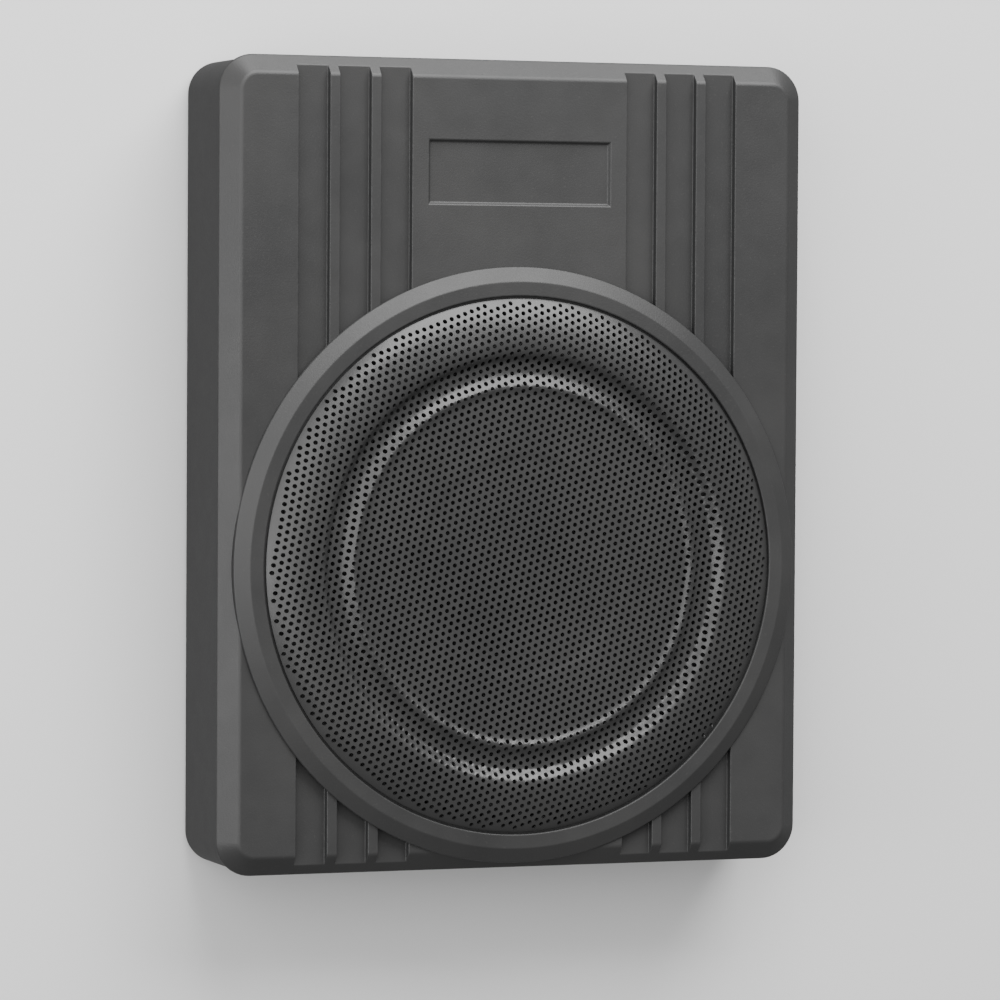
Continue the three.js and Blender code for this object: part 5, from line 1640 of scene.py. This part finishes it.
@dataclass
class Driver:
    """The flat woofer: motor, basket, voice coil, spider, cone, cap and surround."""

    palette: Palette
    pole_radius: float = 23.0
    vent_radius: float = 5.0
    magnet_bore: float = 28.0
    plate_bore: float = 27.0
    wall_radius: float = 95.5
    sheet: float = 1.6
    windows: int = 6
    window_inner: float = 60.0
    window_outer: float = 85.0
    spoke: float = 12.0
    landing: float = 58.0
    cone_sheet: float = 1.2
    cap_radius: float = 33.0
    spider_waves: int = 5
    spider_wave: float = 0.8
    soft_sheet: float = 0.8
    roll_rise: float = 5.0
    former_wall: float = 0.5
    coil_wire: float = 0.5
    coil_build: float = 1.1
    screw_hole: float = 2.2
    seal_bore: float = 97.0
    spider_rise: float = 2.5
    spider_land: float = 45.5
    cone_fall: float = 8.0
    cone_bow: float = 1.25
    cap_sheet: float = 1.0
    braid_radius: float = 0.8
    braid_joint: float = 48.0

    def __post_init__(self) -> None:
        """Read where the driver stands."""
        self.at = (0.0, Span.of("yoke").middle.y, 0.0)

    def turned(self, name: str, profile: Sequence[Point2], sides: int = MEDIUM) -> Piece:
        """Turn a profile about the driver's axis."""
        return lathe(name, profile, self.at, sides=sides)

    def line_sheet(self, name: str, line: Sequence[Point2], thickness: float, sides: int = LARGE) -> Piece:
        """Turn a thin sheet whose upper side is a line, from the inside outwards.

        Args:
            name: Name of the object.
            line: Radius and height pairs of the upper side.
            thickness: Thickness of the sheet.
            sides: Steps around.

        Returns:
            The sheet.
        """
        under = []
        for i, (r, z) in enumerate(line):
            before, after = line[max(i - 1, 0)], line[min(i + 1, len(line) - 1)]
            run = math.hypot(after[0] - before[0], after[1] - before[1])
            shift = (after[1] - before[1]) / run * thickness
            under.append((0.0 if r == 0 else r + shift, z - (after[0] - before[0]) / run * thickness))
        return self.turned(name, [*under, *reversed(line)], sides)

    def motor(self) -> None:
        """Yoke with pole and vent, magnet and top plate."""
        yoke = Span.of("yoke")
        low, top = yoke.low.z, yoke.high.z
        radius = yoke.size.x / 2
        plate = low + 5.5
        profile = rounded([
            (self.vent_radius, low, 0.8), (radius, low, 1.6), (radius, plate, 0.4),
            (self.pole_radius, plate, 0.0), (self.pole_radius, top, 0.6), (self.vent_radius, top, 0.9)], 4)
        dress(self.turned("yoke_and_pole", profile), self.palette.plated, nodes=["yoke"])
        for node, name, bore, edge, material, slot in (
                ("magnet", "ferrite_ring", self.magnet_bore, 0.9, self.palette.ferrite, "ferrite"),
                ("top_plate", "gap_plate", self.plate_bore, 0.5, self.palette.plated, "plated_steel")):
            box = Span.of(node)
            out = box.size.x / 2
            ring = rounded([(bore, box.low.z, edge), (out, box.low.z, edge), (out, box.high.z, edge),
                            (bore, box.high.z, edge)], 4)
            dress(self.turned(name, ring), material, nodes=[node])

    def basket(self) -> None:
        """The pressed basket with six windows, ribbed spokes and a flanged rim."""
        box = Span.of("basket")
        low, top = box.low.z, box.high.z
        flange = box.size.x / 2
        under = top - self.sheet
        landing = low + 1.7 + self.sheet
        neck = self.plate_bore + FIT
        shoulder = self.wall_radius - 5.0
        knee = landing + 6.0
        bowl = rounded([
            (neck, low, 0.2), (47.0, low, 0.4), (49.0, landing - self.sheet, 0.4),
            (self.landing, landing - self.sheet, 0.6), (shoulder, knee - self.sheet, 1.2),
            (self.wall_radius, under, 1.2), (flange, under, 0.4), (flange, top, 0.4),
            (self.wall_radius - self.sheet, top, 1.0), (shoulder - self.sheet, knee, 1.2),
            (self.landing, landing, 0.6), (47.5, landing, 0.4), (45.5, low + self.sheet, 0.4),
            (neck, low + self.sheet, 0.2)], 4)
        basket = self.turned("pressed_basket", bowl)
        cut(basket, *[self.window(k, low - 2, under) for k in range(self.windows)])
        for hole in rods("hole", Span.middles("woofer_screw", FLANGE_SCREWS), self.screw_hole, under - 1, top + 1):
            cut(basket, hole)
        soften(basket, 0.25, 2, 40)
        dress(basket, self.palette.frame_steel, nodes=["basket"])

    def window(self, index: int, low: float, high: float) -> Piece:
        """The cutter for one window, between two spokes with parallel sides."""
        start = math.pi / 2 + index * math.tau / self.windows
        end = start + math.tau / self.windows
        points: list[Point2] = []
        for radius, order in ((self.window_outer, 1), (self.window_inner, -1)):
            lean = math.asin(self.spoke / 2 / radius)
            steps = [start + lean + (end - start - 2 * lean) * i / 10 for i in range(11)][::order]
            points.extend((radius * math.cos(a), radius * math.sin(a)) for a in steps)
        verts = [(x, y + self.at[1], z) for z in (low, high) for x, y in points]
        count = len(points)
        faces = [list(range(count)), list(range(count, 2 * count))]
        faces += [[i, (i + 1) % count, count + (i + 1) % count, count + i] for i in range(count)]
        return new_object("window", verts, faces)

    def coil(self) -> None:
        """Former and winding, on the cone's body."""
        former = Span.of("voice_coil_former")
        out = former.size.x / 2
        bore = out - self.former_wall
        sleeve = [(bore, former.low.z), (out, former.low.z), (out, former.high.z), (bore, former.high.z)]
        dress(self.turned("coil_former", sleeve), self.palette.film, CONE, ["voice_coil_former"])
        winding = Span.of("voice_coil_winding")
        out = winding.size.x / 2
        turns = int(winding.size.z / self.coil_wire)
        line = windings(out - self.coil_build, out, winding.low.z, winding.high.z, turns, 0.14, 0.02)
        dress(self.turned("coil_winding", line), self.palette.wire, CONE, ["voice_coil_winding"], 60)

    def cone_height(self, radius: float) -> float:
        """Height of the upper side of the cone at a radius."""
        box = Span.of("cone")
        rim = box.size.x / 2
        share = (radius - self.neck) / (rim - self.neck)
        return box.high.z - self.cone_fall * (1 - max(share, 0.0) ** self.cone_bow)

    @property
    def neck(self) -> float:
        """Radius of the neck of the cone."""
        return Span.of("voice_coil_former").size.x / 2 + FIT

    def diaphragm(self) -> None:
        """Cone with pressed rings, and the dust cap."""
        rim = Span.of("cone").size.x / 2
        steps = 60
        line = []
        for i in range(steps + 1):
            radius = self.neck + (rim - self.neck) * i / steps
            ripple = 0.16 * math.sin((radius - 40) * math.tau / 9) if 42 < radius < 78 else 0.0
            line.append((radius, self.cone_height(radius) + min(ripple, 0.0)))
        cone = self.line_sheet("pulp_cone", line, self.cone_sheet)
        dress(cone, self.palette.paper, CONE, ["cone"])
        cap = Span.of("dust_cap")
        rim_z = self.cone_height(self.cap_radius) + FIT + self.cone_sheet
        rise = cap.high.z - rim_z
        dome = [(self.cap_radius * i / 24, rim_z + rise * (1 - (i / 24) ** 2.0)) for i in range(25)]
        dress(self.line_sheet("domed_cap", dome, self.cap_sheet), self.palette.paper, CONE, ["dust_cap"])

    def soft_parts(self) -> None:
        """Surround and spider, which bend between the cone and the cabinet, and their gasket."""
        box = Span.of("surround")
        outer = box.size.x / 2
        rim = Span.of("cone").size.x / 2
        inner_z = Span.of("cone").high.z + FIT + self.soft_sheet
        outer_z = Span.of("basket").high.z + FIT + self.soft_sheet
        roll_end = outer - 4.0
        steps = 32
        line = [(rim - 4.0, inner_z), (rim - 1.5, inner_z)]
        for i in range(steps + 1):
            share = i / steps
            arch = math.sin(math.pi * share) ** 0.75
            line.append((rim + (roll_end - rim) * share,
                         inner_z + (outer_z - inner_z) * share + (self.roll_rise - 0.15) * arch))
        line += [(outer - 2.0, outer_z), (outer, outer_z)]
        roll = self.line_sheet("half_roll_surround", line, self.soft_sheet)
        dress(roll, self.palette.roll_rubber, None, ["surround"])
        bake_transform(roll)
        self.spider()
        seal = Span.of("woofer_gasket")
        band = self.turned("flange_seal", rounded([(r, z, 0.3) for r, z in (
            (self.seal_bore, seal.low.z), (seal.size.x / 2, seal.low.z), (seal.size.x / 2, seal.high.z),
            (self.seal_bore, seal.high.z))], 3))
        spots = Span.middles("woofer_screw", FLANGE_SCREWS)
        for hole in rods("hole", spots, self.screw_hole, seal.low.z - 1, seal.high.z + 1):
            cut(band, hole)
        dress(band, self.palette.rubber, nodes=["woofer_gasket"])

    def spider(self) -> None:
        """The corrugated disc that centres the coil."""
        box = Span.of("spider")
        outer = box.size.x / 2
        inner = self.neck
        outer_z = box.low.z + self.soft_sheet
        rise = self.spider_rise
        start, end = inner + 2.0, self.spider_land
        steps = 80
        line = [(inner, outer_z + rise), (inner + 1.0, outer_z + rise)]
        for i in range(steps + 1):
            share = i / steps
            fade = min(1.0, share * 8, (1 - share) * 8)
            wave = self.spider_wave * math.sin(math.tau * self.spider_waves * share) * fade
            line.append((start + (end - start) * share, outer_z + rise * (1 - share) + wave))
        line += [(end + 2.5, outer_z), (outer, outer_z)]
        disc = self.line_sheet("corrugated_spider", line, self.soft_sheet)
        dress(disc, self.palette.cloth, None, ["spider"])
        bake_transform(disc)

    def wiring(self) -> None:
        """Terminal strip, tinsel leads and the lead to the amplifier."""
        keep("terminal_strip", self.palette.plastic, 0.3)
        keep("speaker_lead", self.palette.rubber, 0.0)
        landing = Span.of("spider").low.z - FIT
        for i in (1, 2):
            box = Span.of(f"tinsel_lead_{i}")
            x, radius = box.middle.x, self.braid_radius
            far = box.high.y - radius
            low = Span.of("terminal_strip").high.z + FIT + radius
            joint = self.at[1] + self.braid_joint
            cone_side = self.cone_height(self.braid_joint) - self.cone_sheet - FIT - radius
            braid = tube(f"braided_lead_{i}", [
                (x, far, low), (x, far - 1.0, landing + 3.0), (x, far - 8.0, landing + 4.5),
                (x, joint, cone_side)], radius)
            dress(braid, self.palette.braid, None, [f"tinsel_lead_{i}"])
            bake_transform(braid)

    def build(self) -> None:
        """Build the driver."""
        self.motor()
        self.basket()
        self.coil()
        self.diaphragm()
        self.soft_parts()
        self.wiring()


# ---------------------------------------------------------------------------------------
# Amplifier and connection bay
# ---------------------------------------------------------------------------------------


@dataclass
class Amplifier:
    """The board and what stands on it."""

    palette: Palette
    waist: float = 6.0
    drum_flange: float = 2.5
    choke_layers: int = 11
    score_half: float = 0.25
    score_depth: float = 0.7
    vent_margin: float = 3.0

    def capacitor(self, index: int) -> None:
        """A can with a rolled groove, a sleeve and a scored vent."""
        box = Span.of(f"capacitor_{index}")
        radius, low, high = box.size.x / 2, box.low.z, box.high.z
        profile = rounded([
            (0, low, 0), (radius - 0.6, low, 0.3), (radius, low + 0.6, 0.3), (radius, low + 2.2, 0.4),
            (radius - 0.9, low + 3.0, 0.4), (radius, low + 3.8, 0.4), (radius, high, 0.9),
            (radius - 1.6, high, 0.3), (radius - 1.9, high - 0.35, 0.2), (0, high - 0.35, 0)], 4, closed=False)
        can = lathe(f"smoothing_can_{index}", profile, (box.middle.x, box.middle.y, 0), sides=64)
        x, y, arm = box.middle.x, box.middle.y, radius - self.vent_margin
        for wide, long in ((arm, self.score_half), (self.score_half, arm)):
            cut(can, block("score", (x - wide, y - long, high - self.score_depth), (x + wide, y + long, high + 1)))
        dress(can, self.palette.sleeve, nodes=[f"capacitor_{index}"])

    def choke(self) -> None:
        """Drum core and its winding."""
        core = Span.of("choke_core")
        radius, low, high = core.size.x / 2, core.low.z, core.high.z
        profile = rounded([
            (0, low, 0), (radius, low, 0.5), (radius, low + self.drum_flange, 0.4),
            (self.waist, low + self.drum_flange, 0.3), (self.waist, high - self.drum_flange, 0.3),
            (radius, high - self.drum_flange, 0.4), (radius, high, 0.5), (0, high, 0)], 4, closed=False)
        at = (core.middle.x, core.middle.y, 0)
        dress(lathe("drum_core", profile, at, sides=64), self.palette.ferrite, nodes=["choke_core"])
        coil = Span.of("choke_winding")
        line = windings(self.waist + FIT, coil.size.x / 2, coil.low.z, coil.high.z, self.choke_layers, 0.4, 0.05)
        dress(lathe("choke_turns", line, at, sides=64), self.palette.wire,
              nodes=["choke_winding"], angle=60)

    def build(self) -> None:
        """Build the amplifier."""
        keep("amp_board", self.palette.board, 0.2)
        keep("heat_sink", self.palette.aluminium, 0.3)
        for i in (1, 2):
            keep(f"transistor_{i}", self.palette.plastic, 0.2)
            self.capacitor(i)
        self.choke()


@dataclass
class Bay:
    """The recessed panel with its knobs, sockets, switch and lamp."""

    palette: Palette
    dials: tuple[str, ...] = ("gain", "bass_boost", "crossover")
    knob_flutes: int = 18
    ticks: int = 11
    tick_radius: float = 7.6
    tick_sweep: float = math.radians(300)
    shaft_radius: float = 3.0
    slide_travel: float = 4.0
    socket_wall: float = 2.0
    jack_share: float = 0.25

    def __post_init__(self) -> None:
        """Read the face and the row of the panel."""
        box = Span.of("control_panel")
        self.face = box.high.y
        self.row = Span.of("gain_knob").middle.z
        self.box = box

    def panel(self) -> None:
        """The plate, with a hole or window for everything that comes through it."""
        box = self.box
        plate = block("bay_panel", tuple(box.low), tuple(box.high))
        soften(plate, 0.3, 2)
        cutters = []
        deep, out = box.low.y - 1, box.high.y + 1
        for dial in self.dials:
            x = Span.of(f"{dial}_knob").middle.x
            cutters.append(rod("hole", self.shaft_radius + FIT, deep, out, (x, 0, self.row), Axis.OUT, HOLE_SIDES))
        jacks = Span.of("phono_jacks")
        for side in (-self.jack_share, self.jack_share):
            x = jacks.middle.x + side * jacks.size.x
            cutters.append(rod("hole", 4.5, deep, out, (x, 0, self.row), Axis.OUT, SMALL))
        lamp = Span.of("power_led").middle.x
        cutters.append(rod("hole", 1.8, deep, out, (lamp, 0, self.row), Axis.OUT, HOLE_SIDES))
        for p in Span.middles("panel_screw", PANEL_SCREWS):
            cutters.append(rod("hole", 1.6, deep, out, (p.x, 0, p.z), Axis.OUT, TINY))
        for node in ("power_socket", "high_level_socket"):
            s = Span.of(node)
            cutters.append(block("window", (s.low.x - FIT, deep, s.low.z - FIT), (s.high.x + FIT, out, s.high.z + FIT)))
        slider = Span.of("phase_switch_slider")
        cutters.append(block("slot", (slider.low.x - FIT, deep, slider.low.z - FIT),
                             (slider.high.x + self.slide_travel + FIT, out, slider.high.z + FIT)))
        cut(plate, *cutters)
        dress(plate, self.palette.plastic, nodes=["control_panel"])

    def marks(self) -> None:
        """Raised tick marks round each dial, longer at the ends and in the middle."""
        bars = []
        for dial in self.dials:
            x = Span.of(f"{dial}_knob").middle.x
            for k in range(self.ticks):
                turn = -self.tick_sweep / 2 + self.tick_sweep * k / (self.ticks - 1)
                long = 0.9 if k in (0, self.ticks // 2, self.ticks - 1) else 0.5
                bar = block("tick", (-0.16, self.face + 0.02, self.tick_radius - long),
                            (0.16, self.face + 0.16, self.tick_radius + long * 0.6))
                spin = Matrix.Rotation(turn, 4, "Y")
                bar.data.transform(Matrix.Translation((x * MM, 0, self.row * MM)) @ spin)
                bars.append(bar)
        dress(merge("dial_marks", bars), self.palette.marking)

    def knob(self, dial: str) -> None:
        """A fluted knob with its shaft, and a white line that shows where it points.

        Args:
            dial: Name of the dial.
        """
        node, body = f"{dial}_knob", f"{dial}_dial"
        box = Span.of(node)
        radius = box.size.x / 2
        x, front, back = box.middle.x, box.high.y, box.low.y
        skirt = self.face + FIT

        def fluted(r: float, h: float, turn: float) -> float:
            """Radius with flutes on the grip only."""
            if r < radius - 1.2 or h < skirt + 0.9:
                return r
            return r - 0.32 * max(0.0, math.cos(turn * self.knob_flutes)) ** 2

        profile = rounded([
            (0, back, 0), (self.shaft_radius, back, 0.3), (self.shaft_radius, skirt, 0), (radius, skirt, 0.15),
            (radius, skirt + 0.8, 0.1), (radius - 0.12, skirt + 1.1, 0.1), (radius - 0.4, front - 0.7, 0.3),
            (radius - 1.1, front, 0.35), (radius - 1.6, front, 0.1), (radius - 1.9, front - 0.25, 0.1),
            (0, front - 0.25, 0)], 4, closed=False)
        knob = lathe(f"{dial}_grip", profile, (x, 0, self.row), Axis.OUT, 144, fluted)
        groove = block("groove", (x - 0.5, front - 0.7, self.row + 1.0), (x + 0.5, front + 1, self.row + radius + 1))
        cut(knob, groove)
        dress(knob, self.palette.plastic, body, [node])
        line = block(f"{dial}_pointer", (x - 0.38, front - 0.68, self.row + 1.15),
                     (x + 0.38, front - 0.2, self.row + radius - 0.9))
        soften(line, 0.08, 2)
        dress(line, self.palette.marking, body)

    def socket(self, node: str, name: str, columns: int) -> None:
        """A shrouded plug socket with a chamfered mouth, a key slot and two rows of pins.

        Args:
            node: CAD node of the socket.
            name: Name of the shroud.
            columns: Pins in each row.
        """
        box = Span.of(node)
        low, high, wall = box.low, box.high, self.socket_wall
        floor = low.y + wall
        shroud = block(name, tuple(low), tuple(high))
        soften(shroud, 0.7, 3)
        cut(shroud, block("cup", (low.x + wall, floor, low.z + wall), (high.x - wall, high.y + 1, high.z - wall)))
        middle = box.middle.x
        cut(shroud, block("key", (middle - 1.5, high.y - 4.5, high.z - wall - 0.5),
                          (middle + 1.5, high.y + 1, high.z + 1)))
        soften(shroud, 0.18, 2, 50)
        dress(shroud, self.palette.plastic, nodes=[node])
        pins = []
        pitch = (high.x - low.x - 2 * wall) / columns
        for i in range(columns):
            for side in (-1, 1):
                x = middle + (i - (columns - 1) / 2) * pitch
                z = self.row + side * (box.size.z / 2 - wall) / 2
                pin = block("pin", (x - 0.7, floor - 0.4, z - 0.7), (x + 0.7, floor + 6.0, z + 0.7))
                pins.append(soften(pin, 0.3, 2))
        dress(merge(f"{name}_pins", pins), self.palette.plated)

    def jacks(self) -> None:
        """Two phono jacks: metal barrels over white and red insulators."""
        box = Span.of("phono_jacks")
        back, front = Span.of("control_panel").low.y - FIT, box.high.y
        body = block("phono_block", (box.low.x, box.low.y, box.low.z), (box.high.x, back, box.high.z))
        soften(body, 0.4, 2)
        barrels = []
        for side, material, name in (
                (-self.jack_share, self.palette.marking, "white"), (self.jack_share, self.palette.red, "red")):
            x = box.middle.x + side * box.size.x
            at = (x, 0, self.row)
            barrels.append(lathe("barrel", rounded([
                (1.6, back - 1, 0), (4.2, back - 1, 0), (4.2, self.face + 0.2, 0.1), (3.75, self.face + 1.2, 0.2),
                (3.75, front, 0.45), (2.9, front, 0.2), (2.9, front - 5, 0.1), (1.6, front - 5, 0)], 4),
                at, Axis.OUT, SMALL))
            liner = lathe(f"{name}_insulator", rounded([
                (1.55, front - 4.9, 0), (2.8, front - 4.9, 0), (2.8, front - 0.5, 0.2), (1.55, front - 0.5, 0.2)], 3),
                at, Axis.OUT, SMALL)
            dress(liner, material)
        join(body, *barrels)
        dress(body, self.palette.plated, nodes=["phono_jacks"])

    def switch_and_lamp(self) -> None:
        """Slide switch with a ribbed slider, and the lamp with its collar."""
        box = Span.of("phase_switch_slider")
        slider = block("phase_slide", tuple(box.low), tuple(box.high))
        soften(slider, 0.25, 2)
        for k in (-1, 0, 1):
            x = box.middle.x + k * 0.95
            cut(slider, block("rib", (x - 0.22, box.high.y - 0.4, box.low.z - 1),
                              (x + 0.22, box.high.y + 1, box.high.z + 1)))
        dress(slider, self.palette.plastic, "phase_slider", ["phase_switch_slider"])
        keep("phase_switch_body", self.palette.plated, 0.25)
        lamp = Span.of("power_led")
        back, front = lamp.low.y, lamp.high.y
        dome = [(1.5 * math.cos(math.pi / 2 * i / 10), front - 1.5 + 1.5 * math.sin(math.pi / 2 * i / 10))
                for i in range(10)]
        lens = lathe("lamp_lens", [(0, back), (2.0, back), (2.0, back + 4), (1.5, back + 4), *dome, (0, front)],
                     (lamp.middle.x, 0, self.row), Axis.OUT, SMALL)
        dress(lens, self.palette.lens, nodes=["power_led"])
        collar = lathe("lamp_collar", rounded([
            (1.75, self.face + 0.02, 0.05), (2.9, self.face + 0.02, 0.2), (2.6, self.face + 0.6, 0.2),
            (1.75, self.face + 0.6, 0.1)], 3), (lamp.middle.x, 0, self.row), Axis.OUT, SMALL)
        dress(collar, self.palette.plated)

    def build(self) -> None:
        """Build the bay."""
        self.panel()
        self.marks()
        for dial in self.dials:
            self.knob(dial)
            keep(f"{dial}_potentiometer", self.palette.plated, 0.3)
        self.socket("power_socket", "power_shroud", 3)
        self.socket("high_level_socket", "speaker_shroud", 2)
        self.jacks()
        self.switch_and_lamp()


# ---------------------------------------------------------------------------------------
# Floor, lights and camera
# ---------------------------------------------------------------------------------------


@dataclass
class Studio:
    """A pale floor, soft lights and a long lens that looks down at the grille."""

    lean: float = math.radians(20.5)
    distance: float = 2.07
    eye_y: float = 0.06
    aim: Point2 = (-0.0083, -0.0145)
    lens: float = 177.5
    roll: float = math.radians(0.35)
    floor_reach: float = 8.0

    def camera(self) -> None:
        """Stand the camera over the cabinet, a little to its left."""
        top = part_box("top_cover")[1].z
        data = bpy.data.cameras.new("camera")
        data.lens = self.lens
        data.sensor_width = 36.0
        data.clip_end = 50.0
        eye = place_data("camera", data)
        eye.location = (-math.sin(self.lean) * self.distance, self.eye_y, top + math.cos(self.lean) * self.distance)
        forward = Vector((*self.aim, top)) - eye.location
        right = forward.cross(Vector((0, 1, 0))).normalized()
        up = right.cross(forward).normalized()
        turned = Matrix.Rotation(-self.roll, 3, forward.normalized())
        right, up = turned @ right, turned @ up
        eye.rotation_mode = "QUATERNION"
        eye.rotation_quaternion = Matrix((right, up, -forward.normalized())).transposed().to_quaternion()
        bpy.context.scene.camera = eye

    def floor(self) -> None:
        """A wide pale floor under the feet."""
        reach = self.floor_reach / MM
        floor = new_object("floor", [(-reach, -reach, 0), (reach, -reach, 0), (reach, reach, 0), (-reach, reach, 0)],
                           [(0, 1, 2, 3)])
        white = Finish("pale_floor", (0.86, 0.86, 0.86), roughness=0.85, spread=0.004, mottle_scale=2.0,
                       grain_scale=300.0, grain_height=0.02, wear=0.0, dust=0.0, specular=0.2).make()
        floor.data.materials.append(white)
        floor.visible_glossy = False

    def light(self, name: str, place: Point3, size: Point2, power: float) -> None:
        """A soft panel that faces the cabinet.

        Args:
            name: Name of the light.
            place: Where it stands, in metres.
            size: Width and height, in metres.
            power: Watts.
        """
        data = bpy.data.lights.new(name, "AREA")
        data.shape = "RECTANGLE"
        data.size, data.size_y = size
        data.energy = power
        lamp = place_data(name, data)
        lamp.location = place
        lamp.rotation_mode = "QUATERNION"
        lamp.rotation_quaternion = (Vector((0, 0, 0.04)) - Vector(place)).to_track_quat("-Z", "Y")

    def world(self) -> None:
        """Even light from all round."""
        sky = bpy.data.worlds.new("studio")
        sky.use_nodes = True
        back = sky.node_tree.nodes["Background"]
        back.inputs["Color"].default_value = (1.0, 1.0, 1.0, 1.0)
        back.inputs["Strength"].default_value = 0.28
        bpy.context.scene.world = sky

    def build(self) -> None:
        """Set the studio up."""
        self.camera()
        self.floor()
        self.light("far_panel", (0.25, 1.4, 0.85), (1.7, 1.6), 66.0)
        self.light("key_panel", (-1.1, 0.3, 1.45), (1.9, 1.9), 26.0)
        self.light("left_panel", (-1.8, -0.15, 0.6), (0.7, 1.3), 9.0)
        self.world()


def main() -> None:
    """Build the studio and then each sub-assembly."""
    logging.basicConfig(level=logging.INFO, format="%(name)s: %(message)s")
    Studio().build()
    palette = Palette()
    cover = Cover(palette)
    cover.build()
    Base(palette).build()
    trim = Trim(palette, cover)
    trim.gasket()
    trim.feet()
    trim.ring()
    Grille(palette).build()
    Driver(palette).build()
    Amplifier(palette).build()
    Bay(palette).build()
    Screws(palette).build()


if __name__ == "__main__":
    main()
